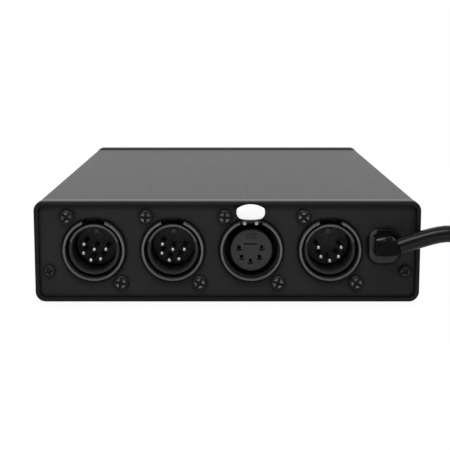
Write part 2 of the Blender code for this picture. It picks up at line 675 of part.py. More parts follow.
def make_switch_body():
    """Switch housing: a bezel on the panel, a body behind it and a pocket round each wheel."""
    width = switch_width()
    bezel_front = PANEL_RECESS - FIT - SWITCH_BEZEL_THICKNESS
    bezel = plate([rounded(width + 3 * mm, SWITCH_BEZEL_HEIGHT, 1 * mm, (SWITCH_X, SWITCH_Z), 2)],
                  bezel_front, PANEL_RECESS - FIT)
    half = SWITCH_BODY_HEIGHT / 2
    body = fuse(bezel, block((SWITCH_X - width / 2, bezel_front + 0.4 * mm, SWITCH_Z - half),
                             (SWITCH_X + width / 2, SWITCH_BODY_DEPTH, SWITCH_Z + half)))
    y = wheel_axis_y()
    for index in range(DECADES):
        x = wheel_x(index)
        reach = WHEEL_WIDTH / 2 + FIT
        body = cut(body, rod((x - reach, y, SWITCH_Z), (x + reach, y, SWITCH_Z), WHEEL_RADIUS + FIT))
        hold = reach + AXLE_STUB + 0.1 * mm
        body = cut(body, rod((x - hold, y, SWITCH_Z), (x + hold, y, SWITCH_Z), AXLE_RADIUS + FIT, sides=12))
    return body


def make_wheel():
    """Thumbwheel about the X axis: a notched rim beside the drum that carries the figures."""
    outline = []
    for tooth in range(WHEEL_TEETH):
        start = 360.0 * tooth / WHEEL_TEETH
        outline += arc((0.0, 0.0), WHEEL_RADIUS, start, start + 180.0 / WHEEL_TEETH, 1)
        outline.append(arc((0.0, 0.0), WHEEL_RADIUS - WHEEL_TOOTH, start + 270.0 / WHEEL_TEETH, start, 1)[0])
    rim = plate([outline], -WHEEL_WIDTH / 2, WHEEL_WIDTH / 2 - DRUM_WIDTH)
    drum = rod((0.0, -WHEEL_WIDTH / 2 + 0.5 * mm, 0.0), (0.0, WHEEL_WIDTH / 2, 0.0), DRUM_RADIUS, sides=20)
    reach = WHEEL_WIDTH / 2 + FIT + AXLE_STUB
    axle = rod((0.0, -reach, 0.0), (0.0, reach, 0.0), AXLE_RADIUS, sides=12)
    body = fuse(rim, drum, axle)
    body.data.transform(Matrix.Rotation(-math.pi / 2, 4, "Z"))
    return body


def make_lamp():
    """Domed lamp with its flange behind the panel."""
    dome = -WHEEL_STANDOUT + 0.2 * mm
    behind = PANEL_BACK + FIT
    profile = [(0.0, dome), (0.7 * LAMP_RADIUS, dome + 0.6 * mm), (LAMP_RADIUS, dome + 1.9 * mm),
               (LAMP_RADIUS, behind), (LAMP_FLANGE_RADIUS, behind), (LAMP_FLANGE_RADIUS, behind + 1 * mm),
               (0.0, behind + 1 * mm)]
    return turned(profile, 12, closed=False)


# Board and its parts, from the case's rear underside

def make_board():
    x = WALL_X - FIT
    return block((-x, BOARD_FROM_REAR, BOARD_Z), (x, CASE_LENGTH - BOARD_FROM_FRONT, BOARD_Z + BOARD_THICKNESS))


def board_top():
    return BOARD_Z + BOARD_THICKNESS + FIT


def make_relay():
    x, y, z = RELAY_SIZE
    return soften(block((-x / 2, -y / 2, 0.0), (x / 2, y / 2, z)), 0.5 * mm, 1)


def make_core():
    """Laminated core with a window for the winding."""
    x, y, z = CORE_SIZE
    _, deep, high = WINDING_SIZE
    body = block((-x / 2, -y / 2, 0.0), (x / 2, y / 2, z))
    foot = (z - high) / 2 - FIT
    for side in (-1, 1):
        near, far = sorted((side * CORE_LIMB / 2, side * (deep / 2 + FIT)))
        body = cut(body, block((-x, near, foot), (x, far, z - foot)))
    return body


def make_winding():
    """Winding round the core's middle limb."""
    wide, deep, high = WINDING_SIZE
    foot = (CORE_SIZE[2] - high) / 2
    outer = rounded(deep, wide, 2 * mm, steps=2)
    inner = rounded(CORE_LIMB + 2 * FIT, CORE_SIZE[0] + 2 * FIT, 0.5 * mm, steps=1)
    body = plate([outer, inner], foot, foot + high)
    body.data.transform(Matrix.Rotation(math.pi / 2, 4, "Z") @ Matrix.Rotation(math.pi / 2, 4, "X"))
    return body


def make_capacitor():
    body = rod((0.0, 0.0, 0.0), (0.0, 0.0, CAPACITOR_HEIGHT), CAPACITOR_RADIUS, sides=20)
    return soften(body, 0.6 * mm, 1, 60.0)


def make_chip():
    """Controller in its socket, with pins down both sides."""
    x, y, z = CHIP_SIZE
    body = block((-x / 2, -y / 2, 0.5 * mm), (x / 2, y / 2, z))
    count = int(y / CHIP_PIN_PITCH)
    for row in range(count):
        place = (row - (count - 1) / 2) * CHIP_PIN_PITCH
        body = fuse(body, block((-x / 2 - 0.8 * mm, place - 0.6 * mm, 0.0),
                                (x / 2 + 0.8 * mm, place + 0.6 * mm, z / 2)))
    return body


def make_fuse_block():
    """Mains terminal block with the fuse clipped across its top."""
    x, y, z = FUSE_SIZE
    body = block((-x / 2, -y / 2, 0.0), (x / 2, y / 2, z))
    body = cut(body, block((-x, -0.3 * y, z - 6 * mm), (x, 0.3 * y, z + 1 * mm)))
    return fuse(body, rod((0.0, -0.4 * y, z - 3 * mm), (0.0, 0.4 * y, z - 3 * mm), 2.5 * mm, sides=12))


# Strain relief and cord

def make_strain_relief():
    """Right-angle bushing: neck and ridge in the panel, flange, block and the collar the cord leaves by."""
    centre = (RELIEF_X, RELIEF_Z)
    flange_back = PANEL_RECESS - FIT
    flange_front = flange_back - RELIEF_FLANGE_THICKNESS
    body = plate([rounded(*RELIEF_FLANGE, centre)], flange_front, flange_back)
    body = soften(body, 0.6 * mm, 2, 60.0)
    neck = plate([rounded(*RELIEF_NECK, centre)], flange_back - 0.5 * mm, flange_back + RELIEF_NECK_LENGTH)
    ridge_start = PANEL_BACK + FIT
    ridge = plate([rounded(*RELIEF_RIDGE, 0.8 * mm, centre, 1)], ridge_start, ridge_start + RELIEF_RIDGE_LENGTH)
    hood = soften(plate([RELIEF_HOOD], -RELIEF_HOOD_REACH, flange_back - 1 * mm), 1.3 * mm)
    out = Vector((math.cos(CORD_RISE), 0.0, math.sin(CORD_RISE)))
    end = Vector(CORD_EXIT) - out * FIT
    collar = rod(end - out * RELIEF_COLLAR_LENGTH, end, RELIEF_COLLAR_RADIUS, RELIEF_COLLAR_END_RADIUS, 16)
    return fuse(body, neck, ridge, hood, collar)


def make_mains_tail():
    """Inner end of the cord, from the strain relief to the terminal block."""
    start = PANEL_RECESS + RELIEF_NECK_LENGTH
    end = FUSE_CENTRE[1] - FUSE_SIZE[1] / 2 - FIT
    return rod((RELIEF_X, start, RELIEF_Z), (RELIEF_X, end, RELIEF_Z), CORD_DIAMETER / 2, sides=12)


def smooth_route(points, spacing):
    """Points a steady distance apart on a smooth curve through the route's own points."""
    route = np.array(points)
    padded = np.vstack([2 * route[0] - route[1], route, 2 * route[-1] - route[-2]])
    dense = []
    for a, b, c, d in zip(padded, padded[1:], padded[2:], padded[3:]):
        for t in np.linspace(0.0, 1.0, 40, endpoint=False):
            dense.append(0.5 * (2 * b + (c - a) * t + (2 * a - 5 * b + 4 * c - d) * t * t
                                + (3 * b - a - 3 * c + d) * t ** 3))
    dense = np.array(dense + [route[-1]])
    along = np.concatenate([[0.0], np.cumsum(np.linalg.norm(np.diff(dense, axis=0), axis=1))])
    marks = np.linspace(0.0, along[-1], round(along[-1] / spacing) + 1)
    return np.column_stack([np.interp(marks, along, dense[:, axis]) for axis in range(3)])


def coil_points():
    """Cord wound inward on the floor, up a layer in the half turn where it reverses, and outward again."""
    layer_turns = (COIL_TURNS - COIL_CLIMB_TURNS) / 2
    inner = COIL_OUTER_RADIUS - layer_turns * COIL_PITCH
    points = []
    for step in range(round(COIL_TURNS * COIL_POINTS) + 1):
        turn = step / COIL_POINTS
        climb = min(max((turn - layer_turns) / COIL_CLIMB_TURNS, 0.0), 1.0)
        if turn < layer_turns:
            radius = COIL_OUTER_RADIUS - turn * COIL_PITCH
        elif climb < 1.0:
            radius = inner - COIL_PITCH * COIL_CLIMB_TURNS * climb * (1.0 - climb)
        else:
            radius = inner + (turn - layer_turns - COIL_CLIMB_TURNS) * COIL_PITCH
        height = COIL_HEIGHT + COIL_PITCH * climb * climb * (3.0 - 2.0 * climb)
        angle = 2 * math.pi * turn - math.pi / 2
        points.append((COIL_CENTRE[0] + radius * math.cos(angle), COIL_CENTRE[1] + radius * math.sin(angle), height))
    x, y, z = points[0]
    start = (x - CORD_DIAMETER, y, z)
    x, y, z = points[-1]
    return np.array([start] + points + [(x, y + COIL_END_RUN, z)])


def least_gap(points, diameter):
    """Smallest clear distance between stretches of a tube that lie more than half a turn apart."""
    apart = COIL_POINTS // 2
    fine = smooth_route(points, 2 * mm)
    per_point = len(fine) / len(points)
    skip = int(apart * per_point)
    nearest = min(np.linalg.norm(fine[i + skip:] - fine[i], axis=1).min() for i in range(len(fine) - skip))
    return nearest - diameter


def tube(points, name, bevel_resolution):
    """Curve object along the points with the cord's section."""
    curve = bpy.data.curves.new(name, "CURVE")
    curve.dimensions = "3D"
    curve.bevel_depth = CORD_DIAMETER / 2
    curve.bevel_resolution = bevel_resolution
    curve.use_fill_caps = True
    spline = curve.splines.new("POLY")
    spline.points.add(len(points) - 1)
    for point, place in zip(spline.points, points):
        point.co = (*place, 1.0)
    return body_of(curve)


def lead_points():
    out = Vector((math.cos(CORD_RISE), 0.0, math.sin(CORD_RISE)))
    start = Vector(CORD_EXIT) + Vector((0.0, 0.0, CASE_LIFT))
    end = Vector(coil_points()[0]) - Vector((FIT, 0.0, 0.0))
    route = [tuple(start), tuple(start + 5 * mm * out)] + LEAD_ROUTE + [tuple(end)]
    return smooth_route(route, 1.5 * CORD_DIAMETER)


def plug_start():
    """Where the plug's boot meets the end of the coil."""
    x, y, z = coil_points()[-1]
    return Vector((x, y + FIT, z))


def make_plug_body():
    """Moulded plug along +Y: tapered boot, grip and a pocket for the blades' carrier."""
    width, length, height = PLUG_BODY
    small, large = PLUG_BOOT_RADII
    off = -PLUG_AXIS_OFFSET
    grip = plate([rounded(width, height, 6 * mm, (off, 0.0), 4)], PLUG_BOOT_LENGTH, PLUG_BOOT_LENGTH + length)
    grip = soften(grip, 2.0 * mm, 2, 60.0)
    boot = rod((0.0, 0.0, 0.0), (0.0, PLUG_BOOT_LENGTH + 2 * mm, 0.0), small, large, 16)
    wide, deep, high = CARRIER_SIZE
    face = PLUG_BOOT_LENGTH + length
    pocket = block((off - wide / 2 - FIT, face - deep - FIT, -high / 2 - FIT),
                   (off + wide / 2 + FIT, face + 1 * mm, high / 2 + FIT))
    return cut(fuse(grip, boot), pocket)


def make_plug_blades():
    """Two flat blades and a round ground pin on their carrier."""
    wide, deep, high = CARRIER_SIZE
    off = -PLUG_AXIS_OFFSET
    face = PLUG_BOOT_LENGTH + PLUG_BODY[1]
    body = block((off - wide / 2, face - deep, -high / 2), (off + wide / 2, face, high / 2))
    across, out, thick = BLADE_SIZE
    for side in (-1, 1):
        z = side * BLADE_SPACING / 2
        body = fuse(body, block((BLADE_X - across / 2, face - 1 * mm, z - thick / 2),
                                (BLADE_X + across / 2, face + out, z + thick / 2)))
    pin = [(0.0, face - 1 * mm), (GROUND_PIN_RADIUS, face - 1 * mm),
           (GROUND_PIN_RADIUS, face + GROUND_PIN_LENGTH - 2 * mm), (0.5 * GROUND_PIN_RADIUS, face + GROUND_PIN_LENGTH),
           (0.0, face + GROUND_PIN_LENGTH)]
    ground = turned(pin, 12, closed=False)
    ground.data.transform(Matrix.Translation((GROUND_PIN_X, 0.0, 0.0)))
    return fuse(body, ground)


# Assembly

clear_scene()
product = make_collection("dmx_switch_pack")
FINISHES = {
    "anodised": material("anodised_black", (0.035, 0.035, 0.036), 0.42, 0.2),
    "moulded": material("moulded_black", (0.022, 0.022, 0.023), 0.5),
    "painted": material("painted_black", (0.02, 0.02, 0.021), 0.45, 0.1),
    "zinc": material("plated_black", (0.05, 0.05, 0.052), 0.35, 0.6),
    "insert": material("insulator_black", (0.012, 0.012, 0.013), 0.5),
    "socket_insert": material("insulator_grey", (0.045, 0.045, 0.047), 0.5),
    "screw": material("screw_black", (0.03, 0.03, 0.03), 0.3, 0.7),
    "latch": material("latch_white", (0.85, 0.85, 0.86), 0.3, 0.1),
    "rubber": material("rubber_black", (0.02, 0.02, 0.02), 0.8),
    "wheel": material("wheel_black", (0.03, 0.03, 0.03), 0.45),
    "lamp": material("lamp_red", (0.5, 0.03, 0.02), 0.15),
    "board": material("board_green", (0.02, 0.16, 0.06), 0.4),
    "relay": material("relay_blue", (0.03, 0.07, 0.2), 0.4),
    "steel": material("core_steel", (0.35, 0.35, 0.36), 0.4, 0.9),
    "copper": material("winding_tape", (0.6, 0.45, 0.1), 0.5),
    "cord": material("cord_black", (0.018, 0.018, 0.018), 0.4),
    "brass": material("blade_brass", (0.75, 0.6, 0.3), 0.25, 1.0),
}

case = frame_at("case_frame", (0.0, REAR_Y, CASE_LIFT))
rear_end = frame_at("rear_end", (0.0, 0.0, 0.0), case)
front_end = frame_at("front_end", (0.0, CASE_LENGTH, 0.0), case, math.pi)

finish(make_sleeve(), "case_sleeve", "anodised", case)
rear_bezel = finish(make_bezel(), "rear_bezel", "moulded", rear_end)
copy_of(rear_bezel, "front_bezel", (0.0, 0.0, 0.0), front_end)
finish(make_rear_panel(), "rear_panel", "painted", rear_end)
finish(make_front_panel(), "front_panel", "painted", front_end)

screw_seat = PANEL_RECESS - FIT
first_screw = finish(make_screw(*PANEL_SCREW), "rear_panel_screw_1", "screw", rear_end,
                     (-SCREW_X, screw_seat, SCREW_HEIGHT))
copy_of(first_screw, "rear_panel_screw_2", (SCREW_X, screw_seat, SCREW_HEIGHT), rear_end)
copy_of(first_screw, "front_panel_screw_1", (-SCREW_X, screw_seat, SCREW_HEIGHT), front_end)
copy_of(first_screw, "front_panel_screw_2", (SCREW_X, screw_seat, SCREW_HEIGHT), front_end)

foot_x = CASE_WIDTH / 2 - FOOT_FROM_SIDE
foot_places = [(x, y, -CASE_LIFT) for y in (FOOT_FROM_END, CASE_LENGTH - FOOT_FROM_END) for x in (-foot_x, foot_x)]
first_foot = finish(make_foot(), "foot_1", "rubber", case, foot_places[0])
for number, place in enumerate(foot_places[1:], start=2):
    copy_of(first_foot, f"foot_{number}", place, case)

# Connectors in order from the left
six_pin_places = [(0.0, 0.0)] + pin_places(SIX_PIN_ANGLES)
connector_frames = [frame_at(f"{name}_frame", (connector_x(index), PANEL_RECESS, CONNECTOR_HEIGHT), rear_end)
                    for index, name in enumerate(("output_1", "output_2", "thru", "input"))]
pin_shell = finish(make_pin_shell(), "output_1_shell", "zinc", connector_frames[0])
copy_of(pin_shell, "output_2_shell", (0.0, 0.0, 0.0), connector_frames[1])
copy_of(pin_shell, "input_shell", (0.0, 0.0, 0.0), connector_frames[3])
finish(make_socket_shell(), "thru_shell", "zinc", connector_frames[2])
six_pin_insert = finish(make_pin_insert(six_pin_places), "output_1_insert", "insert", connector_frames[0])
copy_of(six_pin_insert, "output_2_insert", (0.0, 0.0, 0.0), connector_frames[1])
finish(make_socket_insert(pin_places(FIVE_PIN_ANGLES)), "thru_insert", "socket_insert", connector_frames[2])
finish(make_pin_insert(pin_places(FIVE_PIN_ANGLES)), "input_insert", "insert", connector_frames[3])
finish(make_latch(), "thru_latch", "latch", connector_frames[2], (0.0, *LATCH_PIVOT))

screw_seats = [(holder, (side * CONNECTOR_SCREW_X, -FIT, -side * CONNECTOR_SCREW_Z))
               for holder in connector_frames for side in (-1, 1)]
holder, place = screw_seats[0]
connector_screw = finish(make_screw(*CONNECTOR_SCREW), "connector_screw_1", "screw", holder, place)
for number, (holder, place) in enumerate(screw_seats[1:], start=2):
    copy_of(connector_screw, f"connector_screw_{number}", place, holder)

# Front end
finish(make_switch_body(), "address_switch_body", "moulded", front_end)
first_wheel = finish(make_wheel(), "address_wheel_1", "wheel", front_end, (wheel_x(0), wheel_axis_y(), SWITCH_Z))
for number in range(1, DECADES):
    copy_of(first_wheel, f"address_wheel_{number + 1}", (wheel_x(number), wheel_axis_y(), SWITCH_Z), front_end)
power_lamp = finish(make_lamp(), "power_lamp", "lamp", front_end, (POWER_LAMP_X, 0.0, LAMP_Z))
for number, x in enumerate(channel_lamp_places(), start=1):
    copy_of(power_lamp, f"channel_lamp_{number}", (x, 0.0, LAMP_Z), front_end)

# Inside
finish(make_board(), "main_board", "board", case)
first_relay = finish(make_relay(), "relay_1", "relay", case, (FIRST_RELAY_X, RELAY_Y, board_top()))
for number in range(1, CHANNELS):
    copy_of(first_relay, f"relay_{number + 1}", (FIRST_RELAY_X + number * RELAY_PITCH, RELAY_Y, board_top()), case)
finish(make_core(), "transformer_core", "steel", case, (*CORE_CENTRE, board_top()))
finish(make_winding(), "transformer_winding", "copper", case, (*CORE_CENTRE, board_top()))
finish(make_capacitor(), "filter_capacitor", "relay", case, (*CAPACITOR_CENTRE, board_top()))
finish(make_chip(), "controller_chip", "insert", case, (*CHIP_CENTRE, board_top()))
finish(make_fuse_block(), "fuse_block", "moulded", case, (*FUSE_CENTRE, board_top()))
finish(make_mains_tail(), "mains_tail", "cord", case)

# Cord
finish(make_strain_relief(), "strain_relief", "cord", rear_end)
cord_frame = frame_at("cord_frame", (0.0, REAR_Y, 0.0))
finish(tube(lead_points(), "cord_lead", 2), "cord_lead", "cord", cord_frame)
finish(tube(coil_points(), "cord_coil", 1), "cord_coil", "cord", cord_frame)
finish(make_plug_body(), "plug_body", "cord", cord_frame, plug_start())
finish(make_plug_blades(), "plug_blades", "brass", cord_frame, plug_start())
bpy.context.view_layer.update()


def length_of(points):
    return float(np.linalg.norm(np.diff(points, axis=0), axis=1).sum())


print(f"coil: least gap {least_gap(coil_points(), CORD_DIAMETER) / mm:.2f} mm")
print(f"cord: {length_of(lead_points()) + length_of(coil_points()):.3f} m")
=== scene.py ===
import math

import bmesh
import bpy
import numpy as np
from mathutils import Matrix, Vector


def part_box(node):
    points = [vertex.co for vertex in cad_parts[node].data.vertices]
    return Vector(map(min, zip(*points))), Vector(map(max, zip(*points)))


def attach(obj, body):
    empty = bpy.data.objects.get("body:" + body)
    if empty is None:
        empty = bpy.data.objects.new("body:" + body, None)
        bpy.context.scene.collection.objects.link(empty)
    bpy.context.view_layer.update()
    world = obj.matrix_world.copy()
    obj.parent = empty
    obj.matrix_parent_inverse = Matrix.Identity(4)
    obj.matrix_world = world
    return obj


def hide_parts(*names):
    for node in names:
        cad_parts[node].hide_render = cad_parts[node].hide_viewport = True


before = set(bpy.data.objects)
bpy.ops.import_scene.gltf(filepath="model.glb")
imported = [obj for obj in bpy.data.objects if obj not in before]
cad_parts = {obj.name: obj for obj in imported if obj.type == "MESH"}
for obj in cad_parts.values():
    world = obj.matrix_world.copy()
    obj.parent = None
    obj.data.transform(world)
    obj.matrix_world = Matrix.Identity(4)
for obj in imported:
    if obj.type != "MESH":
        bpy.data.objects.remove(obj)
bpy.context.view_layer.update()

# Sizes are in mm and angles in degrees; the frame is in metres
mm = 0.001
gap = 0.3      # kept between two pieces that touch
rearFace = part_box("rear_bezel")[0].y / mm
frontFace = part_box("front_bezel")[1].y / mm
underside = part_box("rear_bezel")[0].z / mm
rearEnd = ((0, rearFace, underside), 0)
frontEnd = ((0, frontFace, underside), 180)
bpy.ops.object.select_all(action="DESELECT")


# Picking, editing and settling pieces
def pick(*pieces):
    bpy.ops.object.select_all(action="DESELECT")
    for piece in pieces:
        piece.select_set(True)
    bpy.context.view_layer.objects.active = pieces[-1]


def drop(*pieces):
    for piece in pieces:
        bpy.data.objects.remove(piece)


def joined(pieces):
    pick(*pieces)
    bpy.ops.object.join()
    return bpy.context.object


def settle(piece):      # place, turn and size go into the mesh
    pick(piece)
    bpy.ops.object.transform_apply(location=True, rotation=True, scale=True)
    return piece


def turnTo(piece, turn, shift=(0, 0, 0)):
    piece.rotation_euler = [math.radians(angle) for angle in turn]
    piece.location = [c * mm for c in shift]
    return settle(piece)


def moveTo(piece, place):
    return turnTo(piece, (0, 0, 0), place)


def copyTo(piece, place=(0, 0, 0), turn=0):      # another one, turned about Z and then moved
    pick(piece)
    bpy.ops.object.duplicate()
    return turnTo(bpy.context.object, (0, 0, turn), place)


def copiesAt(piece, spots):      # one at each (x, z), in place of the piece
    copies = [copyTo(piece, (x, 0, z)) for x, z in spots]
    drop(piece)
    return copies


def startEdit(piece):
    pick(piece)
    bpy.ops.object.mode_set(mode="EDIT")
    bpy.ops.mesh.select_all(action="SELECT")


def endEdit():
    bpy.ops.mesh.select_all(action="SELECT")
    bpy.ops.mesh.normals_make_consistent(inside=False)
    bpy.ops.object.mode_set(mode="OBJECT")


def taper(piece, sizes, centre):      # shrink the end that faces +Y
    startEdit(piece)
    mesh = bmesh.from_edit_mesh(piece.data)
    bpy.ops.mesh.select_all(action="DESELECT")
    for face in mesh.faces:
        face.select_set(face.normal.y > 0.9)
    bmesh.update_edit_mesh(piece.data)
    bpy.ops.transform.resize(value=sizes, center_override=[c * mm for c in centre])
    endEdit()
    return piece


def applied(piece, modifier):
    pick(piece)
    bpy.ops.object.modifier_apply(modifier=modifier.name)
    return piece


def roundEdges(piece, width, segments=2, angle=60):
    bevel = piece.modifiers.new("edges", "BEVEL")
    bevel.width = width * mm
    bevel.segments = segments
    bevel.limit_method = "ANGLE"
    bevel.angle_limit = math.radians(angle)
    bevel.miter_outer = "MITER_ARC"
    return applied(piece, bevel)


def combine(piece, operation, tools):
    for tool in tools:
        boolean = piece.modifiers.new("combine", "BOOLEAN")
        boolean.operation = operation
        boolean.solver = "EXACT"
        boolean.object = tool
        applied(piece, boolean)
        drop(tool)
    return piece


def cut(piece, *tools):
    return combine(piece, "DIFFERENCE", tools)


def fuse(piece, *tools):
    return combine(piece, "UNION", tools)


def addBlock(low, high):
    middle = [(a + b) / 2 * mm for a, b in zip(low, high)]
    size = [(b - a) * mm for a, b in zip(low, high)]
    bpy.ops.mesh.primitive_cube_add(size=1, location=middle, scale=size)
    return settle(bpy.context.object)


def addSlab(width, height, radius, centre, front, back, segments=8):      # rounded plate that faces along Y
    place = (centre[0] * mm, front * mm, centre[1] * mm)
    bpy.ops.mesh.primitive_plane_add(size=1, location=place, rotation=(math.pi / 2, 0, 0))
    piece = bpy.context.object
    piece.scale = (width * mm, height * mm, 1)
    settle(piece)
    startEdit(piece)
    bpy.ops.mesh.bevel(offset=radius * mm, segments=segments, affect="VERTICES")
    bpy.ops.mesh.select_all(action="SELECT")
    bpy.ops.mesh.extrude_region_move(TRANSFORM_OT_translate={"value": (0, (back - front) * mm, 0)})
    endEdit()
    return piece


def addTurned(profile, sides=64, closed=False):      # (radius, depth) steps about Y, by extrude and scale
    radius, depth = profile[0]
    bpy.ops.mesh.primitive_circle_add(vertices=sides, radius=radius * mm, location=(0, depth * mm, 0),
                                      rotation=(math.pi / 2, 0, 0))
    piece = settle(bpy.context.object)
    startEdit(piece)
    for newRadius, newDepth in profile[1:] + (profile[:1] if closed else []):
        bpy.ops.mesh.extrude_edges_move(TRANSFORM_OT_translate={"value": (0, (newDepth - depth) * mm, 0)})
        grow = newRadius / radius
        bpy.ops.transform.resize(value=(grow, 1, grow), center_override=(0, newDepth * mm, 0))
        radius, depth = newRadius, newDepth
    bpy.ops.mesh.select_all(action="SELECT")
    if closed:
        bpy.ops.mesh.remove_doubles(threshold=0.002 * mm)
    else:
        bpy.ops.mesh.fill_holes(sides=0)
    endEdit()
    return piece


def addRod(radius, front, back, centre=(0, 0), sides=32):      # along Y
    return moveTo(addTurned([(radius, front), (radius, back)], sides), (centre[0], 0, centre[1]))


def addAxle(radius, reach, place=(0, 0, 0), sides=24):      # along X, to both sides
    return turnTo(addTurned([(radius, -reach), (radius, reach)], sides), (0, 0, 90), place)


def keepPlace(piece):      # own place in mm, before the piece is turned and moved, for its finish
    places = piece.data.attributes.new("ownPlace", "FLOAT_VECTOR", "POINT")
    places.data.foreach_set("vector", [c / mm for vertex in piece.data.vertices for c in vertex.co])
    return piece


def finishPiece(piece, name, finish, nodes=(), body="case"):
    piece.name = name
    piece.data.name = name
    piece.data.materials.clear()
    piece.data.materials.append(finish.material)
    if piece.type == "MESH":
        pick(piece)
        bpy.ops.object.shade_smooth_by_angle(angle=math.radians(35))
    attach(piece, body)
    if nodes:
        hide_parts(*nodes)
    return piece


# Shader maths: a socket that can be added, multiplied and compared
class Socket:
    def __init__(self, nodes, socket):
        self.nodes = nodes
        self.socket = socket

    def maths(self, operation, first, second):
        return self.nodes.node("ShaderNodeMath", {"operation": operation}, {0: first, 1: second})

    def __add__(self, other):
        return self.maths("ADD", self, other)

    def __sub__(self, other):
        return self.maths("SUBTRACT", self, other)

    def __rsub__(self, other):
        return self.maths("SUBTRACT", other, self)

    def __mul__(self, other):
        return self.maths("MULTIPLY", self, other)

    def __truediv__(self, other):
        return self.maths("DIVIDE", self, other)

    def __pow__(self, other):
        return self.maths("POWER", self, other)

    def __gt__(self, other):
        return self.maths("GREATER_THAN", self, other)

    def __mod__(self, other):
        return self.maths("FLOORED_MODULO", self, other)

    def __abs__(self):
        return self.maths("ABSOLUTE", self, 0)

    __radd__ = __add__
    __rmul__ = __mul__


class Nodes:      # makes the nodes of one tree and joins them
    def __init__(self, tree):
        self.tree = tree

    def join(self, made, sockets):
        for key, value in sockets.items():
            if isinstance(value, Socket):
                self.tree.links.new(value.socket, made.inputs[key])
            else:
                made.inputs[key].default_value = value

    def node(self, kind, settings, sockets, output=0):
        made = self.tree.nodes.new(kind)
        for key, value in settings.items():
            setattr(made, key, value)
        self.join(made, sockets)
        return Socket(self, made.outputs[output])


class Finish(Nodes):
    def __init__(self, name, colour, roughness, fixed=None):
        self.material = bpy.data.materials.new(name)
        self.material.use_nodes = True
        super().__init__(self.material.node_tree)
        self.shader = self.tree.nodes["Principled BSDF"]
        self.set({"Base Color": (*colour, 1), "Roughness": roughness, **(fixed or {})})

    def set(self, sockets):
        self.join(self.shader, sockets)

    def where(self, stretch=(1, 1, 1)):      # object coordinates in mm, stretched
        place = self.node("ShaderNodeTexCoord", {}, {}, "Object")
        scale = [1 / (mm * s) for s in stretch]
        return self.node("ShaderNodeVectorMath", {"operation": "MULTIPLY"}, {0: place, 1: scale})

    def along(self, axis):
        return self.node("ShaderNodeSeparateXYZ", {}, {0: self.where()}, axis)

    def own(self, axis):      # the piece's own coordinate in mm
        place = self.node("ShaderNodeAttribute", {"attribute_name": "ownPlace"}, {}, "Vector")
        return self.node("ShaderNodeSeparateXYZ", {}, {0: place}, axis)

    def fromAxis(self):      # distance from the piece's own Y axis in mm
        return (self.own("X") ** 2 + self.own("Z") ** 2) ** 0.5

    def atLeast(self, value, least):
        return self.node("ShaderNodeMath", {"operation": "MAXIMUM"}, {0: value, 1: least})

    def step(self, value, low, high):      # 0 below low, 1 above high, smooth between
        return self.node("ShaderNodeMapRange", {"interpolation_type": "SMOOTHSTEP"},
                         {"Value": value, "From Min": low, "From Max": high})

    def fall(self, value, low, high):      # 1 below low, 0 above high
        return 1 - self.step(value, low, high)

    def band(self, value, low, high, soft=0.15):      # 1 between low and high
        return self.step(value, low - soft, low) * self.fall(value, high, high + soft)

    def noise(self, size, detail=2, stretch=(1, 1, 1), rough=0.5):
        return self.node("ShaderNodeTexNoise", {}, {"Vector": self.where(stretch), "Scale": 1 / size,
                                                    "Detail": detail, "Roughness": rough})

    def mix(self, factor, low, high):
        sockets = {0: factor, 6: (*low, 1) if isinstance(low, tuple) else low,
                   7: (*high, 1) if isinstance(high, tuple) else high}
        return self.node("ShaderNodeMix", {"data_type": "RGBA"}, sockets, 2)

    def paint(self, factor, dark, light, roughness, **more):
        self.set({"Base Color": self.mix(factor, dark, light), "Roughness": roughness, **more})

    def bump(self, height, depth, strength=0.5):
        self.set({"Normal": self.node("ShaderNodeBump", {}, {"Height": height, "Distance": depth * mm,
                                                              "Strength": strength})})


# Cord: the route of the free lead and the coil, as in the CAD
cord = {"width": 6.2, "exit": (62.4, -6.5, 24.65), "rise": 20, "straight": 5,
        "lead": [(71.5, -6.5, 27.7), (76.5, -6.5, 29.0), (82.0, -6.7, 29.4), (91.9, -7.6, 27.7),
                 (101.0, -8.6, 22.6), (109.0, -9.0, 16.6), (117.0, -8.8, 10.6), (127.0, -7.6, 5.4),
                 (134.5, -6.7, 3.6)],
        "coilCentre": (148.0, 42.0), "coilRadius": 48.5, "pitch": 6.8, "height": 3.2, "turns": 7.25,
        "climbTurns": 0.5, "pointsPerTurn": 24, "endRun": 18.0, "spacing": 2.5, "roundSides": 5}


def smoothRoute(points, spacing):      # a curve through the points, cut into even steps
    route = np.array(points, float)
    padded = np.vstack([2 * route[0] - route[1], route, 2 * route[-1] - route[-2]])
    dense = []
    for a, b, c, d in zip(padded, padded[1:], padded[2:], padded[3:]):
        for t in np.linspace(0, 1, 40, endpoint=False):
            dense.append(0.5 * (2 * b + (c - a) * t + (2 * a - 5 * b + 4 * c - d) * t * t
                                + (3 * b - a - 3 * c + d) * t ** 3))
    dense = np.array(dense + [route[-1]])
    run = np.concatenate([[0], np.cumsum(np.linalg.norm(np.diff(dense, axis=0), axis=1))])
    marks = np.linspace(0, run[-1], round(run[-1] / spacing) + 1)
    return np.column_stack([np.interp(marks, run, dense[:, axis]) for axis in range(3)])


